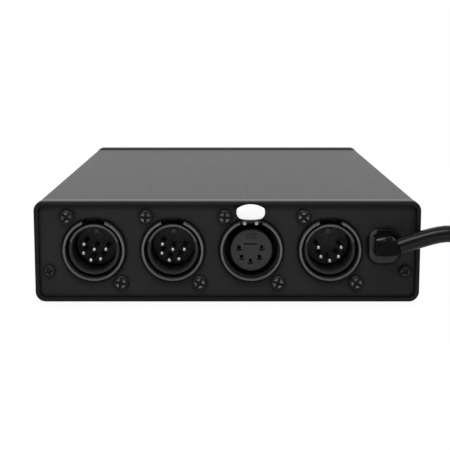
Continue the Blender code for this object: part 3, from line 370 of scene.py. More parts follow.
def coilRoute():      # winds inward on the table, climbs and winds outward on top
    layerTurns = (cord["turns"] - cord["climbTurns"]) / 2
    inner = cord["coilRadius"] - layerTurns * cord["pitch"]
    centreX, centreY = cord["coilCentre"]
    points = []
    for step in range(round(cord["turns"] * cord["pointsPerTurn"]) + 1):
        turn = step / cord["pointsPerTurn"]
        climb = min(max((turn - layerTurns) / cord["climbTurns"], 0), 1)
        if turn < layerTurns:
            radius = cord["coilRadius"] - turn * cord["pitch"]
        elif climb < 1:
            radius = inner - cord["pitch"] * cord["climbTurns"] * climb * (1 - climb)
        else:
            radius = inner + (turn - layerTurns - cord["climbTurns"]) * cord["pitch"]
        height = cord["height"] + cord["pitch"] * climb * climb * (3 - 2 * climb)
        angle = 2 * math.pi * turn - math.pi / 2
        points.append((centreX + radius * math.cos(angle), centreY + radius * math.sin(angle), height))
    x, y, z = points[0]
    lastX, lastY, lastZ = points[-1]
    return [(x - cord["width"], y, z)] + points + [(lastX, lastY + cord["endRun"], lastZ)]


def cordRoute():      # from the strain relief to the plug, in the frame's place
    rise = math.radians(cord["rise"])
    x, y, z = cord["exit"]
    straight = (x + cord["straight"] * math.cos(rise), y, z + cord["straight"] * math.sin(rise))
    route = smoothRoute([cord["exit"], straight] + cord["lead"] + coilRoute(), cord["spacing"])
    return route + np.array([0, rearFace, 0])


def addCord(points):
    curve = bpy.data.curves.new("mainsCord", "CURVE")
    curve.dimensions = "3D"
    curve.bevel_depth = cord["width"] / 2 * mm
    curve.bevel_resolution = cord["roundSides"]
    curve.use_fill_caps = True
    spline = curve.splines.new("POLY")
    spline.points.add(len(points) - 1)
    for point, place in zip(spline.points, points):
        point.co = (*[c * mm for c in place], 1)
    spline.use_smooth = True
    piece = bpy.data.objects.new("mainsCord", curve)
    bpy.context.collection.objects.link(piece)
    return finishPiece(piece, "mainsCord", cordFinish, ["cord_lead", "cord_coil"])


# Finishes of the case
def anodisedFinish():      # fine satin grain, with faint streaks along the extrusion
    finish = Finish("anodisedBlack", (0.024, 0.024, 0.025), 0.4, {"Specular IOR Level": 0.1})
    streaks = finish.noise(0.5, 3, (1, 60, 1))
    grain = finish.noise(0.12)
    shade = finish.noise(30) * 0.5 + streaks * 0.5
    finish.paint(shade, (0.02, 0.02, 0.021), (0.03, 0.03, 0.031), 0.34 + streaks * 0.08 + grain * 0.06)
    finish.bump(grain * 0.7 + streaks * 0.3, 0.01)
    return finish


def mouldedFinish():      # sparked mould texture, with a coat only along the top that paints a sheen there
    finish = Finish("mouldedBlack", (0.012, 0.012, 0.013), 0.4,
                    {"Specular IOR Level": 0.1, "Coat Roughness": 0.35, "Coat IOR": 1.5})
    grain = finish.noise(0.22, 3)
    # painted sheen: coat weight only on the top face and its upper edge
    wearAndSheen = finish.step(finish.along("Z"), 39.5, 40.0)
    colour = finish.mix(finish.noise(8, 3), (0.005, 0.005, 0.0055), (0.009, 0.009, 0.0095))
    finish.set({"Base Color": colour, "Roughness": 0.3 + grain * 0.2, "Coat Weight": wearAndSheen * 0.35})
    finish.bump(grain, 0.02)
    return finish


def paintFinish(name, shaded=False):      # powder coat: low orange peel and fine specks
    finish = Finish(name, (0.02, 0.02, 0.021), 0.5, {"Specular IOR Level": 0.1})
    peel = finish.noise(0.8)
    specks = finish.noise(0.3, 3)
    clouds = finish.noise(12, 3)
    colour = finish.mix(specks * 0.6 + clouds * 0.4, (0.01, 0.01, 0.0105), (0.0185, 0.0185, 0.0195))
    # painted shade: near black round the connectors and below the relief's top
    if shaded:
        colour = finish.mix(cleanPaint(finish), (0.002, 0.002, 0.002), colour)
    finish.set({"Base Color": colour, "Roughness": 0.42 + peel * 0.16})
    finish.bump(peel * 0.6 + specks * 0.4, 0.03)
    return finish


# Painted shade round the connectors and the strain relief: from the ring's axis, from the flange's corner, in
# height
paintedShade = {"ring": (11.9, 13.0), "flange": (0.3, 1.7), "top": (24, 26)}


def cleanPaint(finish):      # 0 in the painted shade, 1 on unshaded paint
    right, up = finish.along("X"), finish.along("Z")
    pitch, first = connectors["pitch"], connectors["first"]
    start = first - pitch / 2
    across = (right - start) % pitch - pitch / 2
    away = (across ** 2 + (up - (underside + connectors["height"])) ** 2) ** 0.5
    row = finish.band(right, start, first + 3 * pitch + pitch / 2)
    width, height, radius = relief["flange"]
    sideways = abs(right - relief["x"]) - (width / 2 - radius)
    upwards = abs(up - underside - relief["z"]) - (height / 2 - radius)
    edge = (finish.atLeast(sideways, 0) ** 2 + finish.atLeast(upwards, 0) ** 2) ** 0.5
    near, far = paintedShade["flange"]
    below = finish.fall(up - underside, *paintedShade["top"])
    return ((1 - row * finish.fall(away, *paintedShade["ring"]))
            * (1 - below * finish.fall(edge, radius + near, radius + far)))


# Finishes of the connectors, in each piece's own place
# where the metal rims show, and where light and shade are painted on them and inside the ring
shellWearAndShade = {"ringRim": (10.75, 11.28), "ringFront": (-1.85, -1.6), "inside": (10.55, 10.7),
             "sleeveRim": (8.85, 9.4), "sleeveFront": (0.25, 0.45), "sleeveTop": (2.2, 3.2)}
keyPatch = {"half": (1.1, 1.25), "height": (4.6, 6.2), "front": (5, 6), "back": (10, 10.2)}


def shellFinish():      # black, painted darker inside the ring as shade; the front rims show plain metal, painted brighter toward the top as light and dimmer toward the bottom as shade
    finish = Finish("blackChrome", (0.1, 0.1, 0.104), 0.3, {"Specular IOR Level": 0.15})
    away, depth, height = finish.fromAxis(), finish.own("Y"), finish.own("Z")
    ringRim = finish.band(away, *shellWearAndShade["ringRim"]) * finish.fall(depth, *shellWearAndShade["ringFront"])
    sleeveRim = finish.band(away, *shellWearAndShade["sleeveRim"]) * finish.fall(depth, *shellWearAndShade["sleeveFront"])
    # painted shade and light: the sleeve's rim dimmer below its top, all rims brighter with height
    sleeveRim = sleeveRim * (0.14 + 0.44 * finish.step(height, *shellWearAndShade["sleeveTop"]))
    bareAndLit = (ringRim + sleeveRim) * (0.72 + height * 0.03)
    # painted shade: darker inside the ring
    dark = finish.mix(finish.step(away, *shellWearAndShade["inside"]), (0.013, 0.013, 0.013), (0.03, 0.03, 0.031))
    wornAndLit = bareAndLit * (0.6 + finish.noise(3, 3) * 0.6)
    finish.set({"Base Color": finish.mix(wornAndLit, dark, (0.145, 0.145, 0.148)), "Metallic": bareAndLit * 0.9,
                "Roughness": 0.32 + finish.noise(0.3, 3) * 0.14})
    finish.bump(finish.noise(0.3, 3), 0.01, 0.4)
    return finish


def insertFinish(name, dark, light):      # glass-filled plastic, slightly mottled; the key on it is paler
    finish = Finish(name, light, 0.5, {"Specular IOR Level": 0.12})
    mottle = finish.noise(1.2, 4, rough=0.6)
    across, depth, height = abs(finish.own("X")), finish.own("Y"), finish.own("Z")
    key = finish.fall(across, *keyPatch["half"]) * finish.band(height, *keyPatch["height"])
    pale = key * finish.step(depth, *keyPatch["front"]) * finish.fall(depth, *keyPatch["back"])
    finish.paint(pale * 0.8, finish.mix(mottle, dark, light), (0.12, 0.12, 0.122), 0.4 + mottle * 0.2)
    finish.bump(finish.noise(0.25), 0.02, 0.4)
    return finish


def platingFinish(name, colour, roughness):      # bright metal with small handling marks
    finish = Finish(name, colour, roughness, {"Metallic": 1.0})
    marks = finish.noise(0.5, 3, (1, 5, 1))
    finish.set({"Roughness": roughness * 0.8 + marks * roughness * 0.5})
    finish.bump(marks, 0.004)
    return finish


def pinFinish():      # plated at the nose; the shaft behind it is painted dark as shade down the bore, and rougher
    finish = Finish("pinPlating", (0.86, 0.85, 0.82), 0.25, {"Metallic": 1.0})
    # painted shade along the shaft, inside the bore
    shaft = finish.step(finish.own("Y"), 0.1, 0.7)
    roughness = 0.3 + shaft * 0.2 + finish.noise(0.4) * 0.08
    finish.paint(shaft, (0.38, 0.37, 0.36), (0.05, 0.049, 0.046), roughness)
    finish.bump(finish.noise(0.5, 3, (1, 5, 1)), 0.004)
    return finish


def screwFinish(name, low, high, wornAndLit):      # black oxide; the four lands round the recess are painted bright metal, partly wear and partly painted glints
    finish = Finish(name, (0.03, 0.03, 0.031), 0.35, {"Specular IOR Level": 0.15})
    ring = finish.band(finish.fromAxis(), low, high, 0.2) * finish.fall(finish.own("Y"), -0.95, -0.75)
    # painted glints on the lands, where the driver also wears the oxide
    lands = ring * finish.step(abs(finish.own("X") * finish.own("Z")), low ** 2 * 0.28, low ** 2 * 0.42)
    wearAndSheen = lands * finish.step(finish.noise(1.1, 3), 0.25, 0.55)
    finish.set({"Base Color": finish.mix(wearAndSheen, (0.008, 0.008, 0.0085), (wornAndLit, wornAndLit, wornAndLit * 1.02)),
                "Metallic": 0.2 + wearAndSheen * 0.6, "Roughness": 0.3 + finish.noise(0.5, 3) * 0.15})
    finish.bump(finish.noise(0.5, 3), 0.01, 0.4)
    return finish


def latchGloss():      # white moulding; the posts are painted grey as shade under the tab, and what lies behind the tab is painted near black as shade
    finish = Finish("latchWhite", (0.82, 0.82, 0.83), 0.3)
    flecks, height = finish.noise(0.6), finish.own("Z")
    # painted shade: near black behind the tab
    shadeBehindTab = finish.step(height, 0.5, 0.75) * finish.step(finish.own("Y"), -3.9, -3.7)
    clean = finish.mix(flecks, (0.76, 0.76, 0.77), (0.86, 0.86, 0.87))
    # painted shade: grey on the posts and arm ends under the tab
    white = finish.mix(finish.step(height, 0.9, 1.5), (0.4, 0.4, 0.4), clean)
    finish.paint(shadeBehindTab, white, (0.012, 0.012, 0.012), 0.26 + flecks * 0.1)
    finish.bump(flecks, 0.01)
    return finish


# Finishes of the cord, its ends and the other mouldings
# where highlights are painted on the strain relief
reliefPaintedLight = {"rim": (-1.2, 0.6), "wall": (53.3, 53.7), "wallDepth": (-9, -6), "left": (52.3, 52.9),
              "corner": (54.2, 55.6), "cornerTop": (18, 20), "top": (24.6, 25.2), "topDepth": (-9.2, -8.6),
              "dull": (57.2, 59.3)}


def nylonFinish():      # matt black; a paler rim is painted on the flange where light catches it, and a coat on the hood's top edge paints a shine there
    finish = Finish("reliefNylon", (0.008, 0.008, 0.008), 0.3,
                    {"Specular IOR Level": 0.05, "Coat Roughness": 0.25, "Coat IOR": 1.5})
    mottle = finish.noise(0.6, 3)
    right, depth, up = finish.own("X"), finish.own("Y"), finish.own("Z")
    # the flange's upper right is left out of the painted highlight
    corner = finish.step(right, *reliefPaintedLight["corner"]) * finish.step(up, *reliefPaintedLight["cornerTop"])
    wall = finish.fall(right, *reliefPaintedLight["wall"]) * finish.step(depth, *reliefPaintedLight["wallDepth"])
    # painted highlight: the flange rim and the hood's left wall paler
    rim = finish.atLeast(finish.band(depth, *reliefPaintedLight["rim"], 0.3) * (1 - corner), wall)
    pale = rim * finish.step(right, *reliefPaintedLight["left"]) * (0.7 + 0.3 * mottle)
    # painted highlight: coat on the hood's top edge, weaker over a band
    shine = finish.step(up, *reliefPaintedLight["top"]) * finish.fall(depth, *reliefPaintedLight["topDepth"])
    shine = shine * (0.75 - 0.65 * finish.band(right, *reliefPaintedLight["dull"], 0.5))
    finish.set({"Base Color": finish.mix(pale, (0.0022, 0.0022, 0.0025), (0.045, 0.045, 0.046)),
                "Roughness": 0.3 + mottle * 0.12, "Coat Weight": shine})
    finish.bump(mottle, 0.01)
    return finish


def jacketFinish():      # smooth cord jacket
    finish = Finish("cordJacket", (0.008, 0.008, 0.008), 0.2, {"Specular IOR Level": 0.13})
    dust = finish.noise(2.5, 4)
    finish.paint(dust, (0.003, 0.003, 0.003), (0.007, 0.007, 0.007), 0.13 + dust * 0.06)
    finish.bump(finish.noise(0.35, 3), 0.01)
    return finish


def glossFinish(name, colour, roughness=0.3, grainSize=0.6, bumpDepth=0.01):      # smooth moulding
    finish = Finish(name, colour, roughness, {"Specular IOR Level": 0.35})
    clouds = finish.noise(grainSize * 12, 3)
    dark = tuple(c * 0.82 for c in colour)
    light = tuple(min(c * 1.1, 0.95) for c in colour)
    finish.paint(clouds, dark, light, roughness * 0.8 + clouds * roughness * 0.4)
    finish.bump(finish.noise(grainSize, 3), bumpDepth, 0.4)
    return finish


def lensFinish(name, colour):
    finish = Finish(name, colour, 0.12, {"Coat Weight": 0.5, "Coat Roughness": 0.05})
    depth = finish.noise(1.0)
    finish.paint(depth, tuple(c * 0.7 for c in colour), colour, 0.1 + depth * 0.06)
    return finish


# Finishes inside the case
def boardFinish():      # green mask over copper tracks
    finish = Finish("solderMask", (0.01, 0.1, 0.04), 0.35)
    black, white = (0, 0, 0, 1), (1, 1, 1, 1)
    tracks = finish.node("ShaderNodeTexBrick", {"offset": 0.37}, {
        "Vector": finish.where(), "Scale": 0.1, "Mortar Size": 0.05, "Brick Width": 0.9, "Row Height": 0.35,
        "Color1": black, "Color2": black, "Mortar": white})
    finish.paint(tracks, (0.008, 0.085, 0.035), (0.02, 0.17, 0.07), 0.25 + finish.noise(2) * 0.15)
    finish.bump(tracks, 0.05, 0.6)
    return finish


def coreFinish():      # stacked laminations
    finish = Finish("coreSteel", (0.3, 0.3, 0.31), 0.4, {"Metallic": 0.9})
    layers = finish.along("X") / 0.5 % 1 > 0.15
    finish.paint(layers, (0.06, 0.05, 0.045), (0.34, 0.34, 0.35), 0.3 + finish.noise(1, 3) * 0.2)
    finish.bump(layers, 0.05)
    return finish


def windingFinish():      # turns of wire seen through tape
    finish = Finish("windingTape", (0.6, 0.42, 0.08), 0.35)
    turns = abs(finish.along("Y") / 0.6 % 1 - 0.5) * 2
    finish.paint(turns, (0.5, 0.22, 0.05), (0.75, 0.55, 0.12), 0.25 + turns * 0.15)
    finish.bump(turns, 0.08)
    return finish


anodised = anodisedFinish()
moulded = mouldedFinish()
powderCoat = paintFinish("powderCoat")
blackChrome = shellFinish()
pinInsulator = insertFinish("pinInsulator", (0.028, 0.028, 0.029), (0.062, 0.062, 0.064))
socketInsulator = insertFinish("socketInsulator", (0.016, 0.016, 0.017), (0.036, 0.036, 0.038))
pinPlating = pinFinish()
contactPlating = platingFinish("contactPlating", (0.3, 0.29, 0.27), 0.3)
connectorOxide = screwFinish("connectorOxide", 1.05, 1.7, 0.12)
panelOxide = screwFinish("panelOxide", 1.1, 1.4, 0.04)
latchFinish = latchGloss()
hingeSteel = platingFinish("hingeSteel", (0.03, 0.03, 0.03), 0.4)
cordFinish = jacketFinish()
nylon = nylonFinish()
rubber = glossFinish("footRubber", (0.02, 0.02, 0.02), 0.75, 0.4, 0.03)
plugRubber = glossFinish("plugMoulding", (0.009, 0.009, 0.0095), 0.36, 0.5, 0.02)
brass = platingFinish("bladeBrass", (0.6, 0.47, 0.25), 0.3)
switchPlastic = glossFinish("switchPlastic", (0.018, 0.018, 0.019), 0.4, 0.3, 0.02)
wheelPlastic = glossFinish("wheelPlastic", (0.03, 0.03, 0.031), 0.38, 0.3, 0.02)
figureInk = glossFinish("figureInk", (0.8, 0.8, 0.78), 0.5)
powerLens = lensFinish("powerLens", (0.03, 0.42, 0.07))
channelLens = lensFinish("channelLens", (0.5, 0.02, 0.015))
print("finishes ready")


# Camera, pale floor, white surroundings and soft lamps
view = {"place": (-0.62, -494.7, 98.9), "pitch": 8.63, "lens": 86.7, "shift": (-0.0015, -0.0447)}
stage = {"floorSize": 6000, "floorShade": 0.82, "floorGlow": 1.01, "shadowShare": 0.04, "worldStrength": 1.0,
         "worldFront": 0.3, "worldTurn": (-0.5, 0.3), "aim": (0, 0, 20)}
lamps = [("keyLamp", (-150, -600, 900), (700, 500), 8.0), ("fillLamp", (600, -500, 600), (500, 500), 2.0),
         ("backLamp", (0, 900, 900), (1200, 500), 1.0)]


def addCamera():
    turn = (math.radians(90 - view["pitch"]), 0, 0)
    bpy.ops.object.camera_add(location=[c * mm for c in view["place"]], rotation=turn)
    camera = bpy.context.object
    camera.data.lens = view["lens"]
    camera.data.shift_x, camera.data.shift_y = view["shift"]
    camera.data.clip_start = 10 * mm
    bpy.context.scene.camera = camera
    bpy.context.scene.view_settings.view_transform = "Standard"


def addFloor():      # white to the camera, but for a share that keeps the shadow
    bpy.ops.mesh.primitive_plane_add(size=stage["floorSize"] * mm)
    floor = bpy.context.object
    floor.name = "floor"
    paper = Finish("floorPaper", (stage["floorShade"],) * 3, 0.9)
    glow = paper.node("ShaderNodeEmission", {}, {"Color": (1, 1, 1, 1), "Strength": stage["floorGlow"]})
    seen = paper.node("ShaderNodeLightPath", {}, {}, "Is Camera Ray")
    plain = Socket(paper, paper.shader.outputs[0])
    share = seen * (1 - stage["shadowShare"])
    mixed = paper.node("ShaderNodeMixShader", {}, {0: share, 1: plain, 2: glow})
    paper.join(paper.tree.nodes["Material Output"], {"Surface": mixed})
    floor.data.materials.append(paper.material)


def addWorld():      # plain white to the camera; on the object, darker from the front than from behind
    world = bpy.data.worlds.new("softStudio")
    bpy.context.scene.world = world
    world.use_nodes = True
    sky = Nodes(world.node_tree)
    seen = sky.node("ShaderNodeLightPath", {}, {}, "Is Camera Ray")
    place = sky.node("ShaderNodeTexCoord", {}, {}, "Generated")
    toward = sky.node("ShaderNodeSeparateXYZ", {}, {0: place}, "Y")
    low, high = stage["worldTurn"]
    slope = sky.node("ShaderNodeMapRange", {}, {
        "Value": toward, "From Min": low, "From Max": high,
        "To Min": stage["worldFront"], "To Max": stage["worldStrength"]})
    strength = sky.node("ShaderNodeMix", {}, {"Factor": seen, "A": slope, "B": 1.0})
    sky.join(sky.tree.nodes["Background"], {"Color": (1, 1, 1, 1), "Strength": strength})


def addStudioLamps():
    for name, place, size, power in lamps:
        aim = (Vector(stage["aim"]) - Vector(place)).to_track_quat("-Z", "Y").to_euler()
        bpy.ops.object.light_add(type="AREA", location=[c * mm for c in place], rotation=aim)
        lamp = bpy.context.object
        lamp.name = name
        lamp.data.shape = "RECTANGLE"
        lamp.data.size, lamp.data.size_y = [s * mm for s in size]
        lamp.data.energy = power


addCamera()
addFloor()
addWorld()
addStudioLamps()
cordPoints = cordRoute()
mainsCord = addCord(cordPoints)
print("camera, floor, light and cord in place")


# Case: extruded sleeve, end bezels and panels
case = {"width": 143.0, "height": 38.0, "length": 203.2, "seam": 0.08, "bezelRadius": 3.8, "rim": 1.6,
        "shelf": 1.6, "ear": 6.0, "edge": 0.45, "panelFront": 1.5, "panelBack": 3.0, "sleeveInset": 0.8,
        "wall": 1.8, "sleeveRadius": 1.5, "innerRadius": 0.4, "ribReach": 2.6, "ribThickness": 1.2,
        "board": (5.7, 7.3), "screwX": 66.2, "screwZ": 11.5, "channelRadius": 3.2, "screwBore": 1.45,
        "tongue": (1.6, 4.0, 16.7, 32.4)}
bezelBack = case["panelBack"] + gap + case["shelf"]
wallX = case["width"] / 2 - case["sleeveInset"] - case["wall"]
midHeight = (0, case["height"] / 2)
panelCut = (0, 5)      # front and back of what cuts a hole in a panel


def addSideBlock(side, across, depth, height):      # across is measured from the middle, to the left or right
    near, far = sorted(side * x for x in across)
    return addBlock((near, depth[0], height[0]), (far, depth[1], height[1]))


def addSleeve():
    start = bezelBack + gap
    end = case["length"] - start
    width, height = (case[key] - 2 * case["sleeveInset"] for key in ("width", "height"))
    body = addSlab(width, height, case["sleeveRadius"], midHeight, start, end)
    inner = height - 2 * case["wall"]
    cut(body, addSlab(2 * wallX, inner, case["innerRadius"], midHeight, start - 1, end + 1, 3))
    intoWall = wallX + 0.5
    ribs, run = (wallX - case["ribReach"], intoWall), (start, end)
    low, high = case["board"][0] - gap, case["board"][1] + gap
    bottom, top = case["screwZ"] - case["channelRadius"], case["screwZ"] + case["channelRadius"]
    for side in (-1, 1):
        centre = (side * case["screwX"], case["screwZ"])
        fuse(body, addRod(case["channelRadius"], start, end, centre, 40),
             addSideBlock(side, ribs, run, (low - case["ribThickness"], low)),
             addSideBlock(side, ribs, run, (high, max(bottom, high + case["ribThickness"]))),
             addSideBlock(side, (case["screwX"], intoWall), run, (bottom, top)))
        cut(body, addRod(case["screwBore"], start - 1, end + 1, centre, 24))
    roundEdges(body, 0.12)
    finishPiece(moveTo(body, rearEnd[0]), "caseSleeve", anodised, ["case_sleeve"])


def addBezels():
    body = addSlab(case["width"], case["height"], case["bezelRadius"], midHeight, 0, bezelBack, 12)
    roundEdges(body, case["edge"], 3)
    width, height = (case[key] - 2 * case["rim"] for key in ("width", "height"))
    radius = case["bezelRadius"] - case["rim"]
    openHeight = case["height"] - 2 * (case["sleeveInset"] + case["wall"])
    cut(body, addSlab(width, height, radius, midHeight, -1, case["panelBack"] + gap),
        addSlab(width - 2 * case["ear"], openHeight, 1, midHeight, -2, bezelBack + 2, 4))
    thick, long, low, high = case["tongue"]
    outer = wallX - gap
    for side in (-1, 1):
        centre = (side * case["screwX"], case["screwZ"])
        cut(body, addRod(case["screwBore"] + gap, -1, bezelBack + 1, centre))
        reach = (bezelBack - 1, bezelBack + long)
        fuse(body, addSideBlock(side, (outer - thick, outer), reach, (low, high)))
    roundEdges(body, 0.1)
    for name, node, end in (("rearBezel", "rear_bezel", rearEnd), ("frontBezel", "front_bezel", frontEnd)):
        finishPiece(copyTo(body, *end), name, moulded, [node])
    drop(body)


def addPanel(name, node, end, holes, paint):      # one end's panel, cut with its own holes
    edge = case["rim"] + case["seam"]
    width, height = (case[key] - 2 * edge for key in ("width", "height"))
    radius = case["bezelRadius"] - edge
    body = addSlab(width, height, radius, midHeight, case["panelFront"], case["panelBack"])
    holes += [addRod(case["screwBore"], *panelCut, (side * case["screwX"], case["screwZ"]), 24)
              for side in (-1, 1)]
    roundEdges(cut(body, joined(holes)), 0.1)
    turnTo(body, (0, 0, end[1]), end[0])
    finishPiece(body, name, paint, [node])


def addRearPanel():
    x, z = connectors["screw"]
    height = connectors["height"]
    centres = [connectorX(index) for index in range(4)]
    holes = [addRod(connectors["hole"], *panelCut, (centre, height), 96) for centre in centres]
    holes += [addRod(connectors["screwHole"], *panelCut, (centre + side * x, height - side * z), 20)
              for centre in centres for side in (-1, 1)]
    width, height, radius = relief["neck"]
    neckPlace = (relief["x"], relief["z"])
    holes.append(addSlab(width + 2 * gap, height + 2 * gap, radius + gap, neckPlace, *panelCut))
    addPanel("rearPanel", "rear_panel", rearEnd, holes, paintFinish("shadedCoat", True))


def addFrontPanel():
    holes = [addRod(lampRow["radius"] + gap, *panelCut, (x, lampRow["z"])) for x in lampSpots()]
    width, height = switchWidth + 2 * gap, switch["bodyHeight"] + 2 * gap
    holes.append(addSlab(width, height, 0.5, (switch["x"], switch["z"]), *panelCut, 2))
    addPanel("frontPanel", "front_panel", frontEnd, holes, powderCoat)


# Pan head screws with a cross recess; the turns say how each one was left
panelScrew = {"head": 2.3, "rise": 1.1, "shank": 1.15, "length": 12.0, "arm": 1.35, "armWidth": 0.75,
              "recess": 0.9, "turns": (-13, 53)}
connectorScrew = {"head": 2.8, "rise": 1.6, "shank": 1.3, "length": 5.4, "arm": 1.9, "armWidth": 1.0,
                  "recess": 1.3, "turns": (38, 12, 2, 30, 4, 20, 47, 35)}
crossTaper = (0.45, 1, 0.6)


def addScrew(size):
    head, rise, shank, length = (size[key] for key in ("head", "rise", "shank", "length"))
    arcs = np.linspace(0, 1.45, 8)
    dome = [(head * math.cos(a) ** 0.6, -rise * (0.35 + 0.65 * math.sin(a))) for a in arcs]
    body = addTurned([(shank * 0.6, length), (shank, length - 0.6), (shank, 0), (head, 0)] + dome, 40)
    front, back = -rise - 1, -rise + size["recess"]
    half, thin = size["arm"], size["armWidth"] / 2
    arms = []
    for turn in (0, 90):
        arm = taper(addBlock((-half, front, -thin), (half, back, thin)), crossTaper, (0, back, 0))
        arms.append(turnTo(arm, (0, turn, 0)))
    cut(body, fuse(*arms))
    return keepPlace(roundEdges(body, 0.08, 2, 50))


def addPanelScrews():
    screw = addScrew(panelScrew)
    seat = case["panelFront"] - gap
    for end, (place, turn) in (("rear", rearEnd), ("front", frontEnd)):
        facing = math.cos(math.radians(turn))
        for number, (side, spin) in enumerate(zip((-1, 1), panelScrew["turns"]), start=1):
            across, inward = facing * side * case["screwX"], facing * seat
            spot = (place[0] + across, place[1] + inward, place[2] + case["screwZ"])
            piece = turnTo(turnTo(copyTo(screw), (0, spin, 0)), (0, 0, turn), spot)
            node = f"{end}_panel_screw_{number}"
            finishPiece(piece, f"{end}PanelScrew{number}", panelOxide, [node])
    drop(screw)


# Round panel connectors; depths run inward from the panel's outer face
connectors = {"first": -49.5, "pitch": 29.2, "height": 19.5, "ring": 11.55, "ringInner": 10.5,
              "standout": 2.0, "flange": (26.0, 31.0, 3.0), "flangeFront": 1.8, "flangeBack": 3.8,
              "screw": (9.9, 12.4), "barrel": 9.7, "shellLength": 17.5, "groove": 7.0, "sleeve": 9.55,
              "lowSleeve": 9.35, "bore": 8.2, "leadIn": (0.45, 0.8), "sleeveFront": -0.4,
              "sleeveCutback": 0.6, "sleeveStep": 3.0, "notch": (4.2, 9.85, 9.3), "insertFront": 11.2,
              "insertBack": 15.7, "rearBore": 6.5, "hole": 11.85, "screwHole": 1.6,
              "latchSlot": (3.3, 8.7, 9.2)}
pins = {"radius": 0.8, "circle": 4.3, "tip": -0.2, "cup": 3.5, "cupDepth": 2, "keyHalf": 1.05,
        "key": (4.6, 6.2), "keyLength": 1.4, "six": (153.0, 200.0, 252.0, 302.0, 0.6),
        "five": (170.0, -140.0, -90.0, -40.0, 10.0)}
sockets = {"radius": 7.7, "front": -1.6, "hole": 1.1, "depth": 8.0, "space": 9.8, "spaceDepth": 12.5,
           "wall": 1.2, "keyHalf": 1.8, "keyDepth": 0.6, "line": (2.45, 2.15, 2.65), "lineDepth": 2.5,
           "shift": -0.33, "tube": (1.02, 0.78, 3, 7.5), "cup": (0.95, 0.6)}


def connectorX(index):
    return connectors["first"] + index * connectors["pitch"]


def connectorPlace(index):
    return (connectorX(index), rearFace + case["panelFront"], underside + connectors["height"])


def pinSpots(angles):
    turns = [math.radians(angle) for angle in angles]
    return [(pins["circle"] * math.cos(turn), pins["circle"] * math.sin(turn)) for turn in turns]


def addShell(profile, notchLow, notchDepth):      # turned shell with a flange and a gap in its ring
    outer, inner, front = connectors["ring"], connectors["ringInner"], -connectors["standout"]
    rim = [(inner, front + 0.18), (inner + 0.14, front + 0.02), (outer - 0.3, front),
           (outer - 0.08, front + 0.1), (outer, front + 0.32)]
    body = addTurned(rim + profile, 96, closed=True)
    width, height, radius = connectors["flange"]
    start, end = connectors["flangeFront"], connectors["flangeBack"]
    plate = addSlab(width, height, radius, (0, 0), start, end, 6)
    x, z = connectors["screw"]
    holes = [addRod(connectors["screwHole"], start - 1, end + 1, (side * x, -side * z), 20)
             for side in (-1, 1)]
    core = addRod(outer - 0.5, start - 1, end + 1, sides=64)
    fuse(body, cut(plate, joined(holes + [core])))
    half = connectors["notch"][0]
    return cut(body, addBlock((-half, 2 * front, notchLow), (half, case["panelFront"], outer + 1)),
               addBlock((-half, 0, notchLow), (half, notchDepth, outer - 0.1)))


def addPinShell():
    c = connectors
    front, groove, back = c["sleeveFront"], c["groove"], c["shellLength"]
    ledge = c["insertBack"] + gap
    leadWidth, leadDepth = c["leadIn"]
    profile = [(c["ring"], groove + 2), (c["barrel"], groove + 2), (c["barrel"], back),
               (c["rearBore"], back), (c["rearBore"], ledge), (c["bore"], ledge),
               (c["bore"], front + leadDepth), (c["bore"] + leadWidth, front), (c["sleeve"], front),
               (c["sleeve"], groove), (c["ringInner"], groove)]
    body = addShell(profile, c["notch"][1], groove)
    reach, thin = (c["sleeve"] + c["ringInner"]) / 2, c["lowSleeve"]
    start, end = front - 2, groove - 1
    cutback = addRod(reach, start, front + c["sleeveCutback"], sides=96)
    thinning = addTurned([(reach, start), (reach, end), (thin, end), (thin, start)], 96, True)
    for tool in (cutback, thinning):      # only the lower part of the sleeve
        cut(body, cut(tool, addBlock((-20, -20, c["sleeveStep"]), (20, 20, 20))))
    return keepPlace(roundEdges(body, 0.1, 2, 55))


def addSocketShell():
    c = connectors
    shoulder, back = c["flangeBack"] + 1, c["shellLength"]
    ledge = c["insertBack"] + gap
    seat, space, depth = sockets["radius"] + gap, sockets["space"], sockets["spaceDepth"]
    wall = space + sockets["wall"]
    profile = [(c["ring"], shoulder), (wall, shoulder), (wall, back), (c["rearBore"], back),
               (c["rearBore"], ledge), (seat, ledge), (seat, depth), (space, depth), (space, 1.3),
               (space + 0.3, 1.0), (c["ringInner"], 0.9)]
    body = addShell(profile, c["notch"][2], case["panelFront"] + gap)
    half, low, end = c["latchSlot"]
    cut(body, addBlock((-half, -1, low), (half, end, c["ring"] - 0.2)))
    return keepPlace(roundEdges(body, 0.1, 2, 55))


def addPinInsert():      # insulator disc with a rim and the key
    radius = connectors["bore"] - gap
    front, back = connectors["insertFront"], connectors["insertBack"]
    body = addTurned([(radius, back), (radius, front + 0.3), (radius - 0.3, front), (radius - 0.9, front),
                      (radius - 1.1, front + 0.2)])
    half, (low, high) = pins["keyHalf"], pins["key"]
    key = addBlock((-half, front - pins["keyLength"], low), (half, front + 1, high))
    return keepPlace(roundEdges(fuse(body, roundEdges(key, 0.2, 3)), 0.08, 2, 55))


def addPins(spots):      # one mesh of all the contacts, each with a round nose and a solder cup
    radius, end = pins["radius"], connectors["insertBack"] + pins["cup"]
    arcs = np.linspace(0.1, math.pi / 2, 9)
    nose = [(radius * math.sin(a), pins["tip"] + radius * (1 - math.cos(a))) for a in arcs]
    cup = [(radius, end), (radius * 0.6, end), (radius * 0.6, end - pins["cupDepth"])]
    return keepPlace(joined(copiesAt(addTurned(nose + cup, 24), spots)))


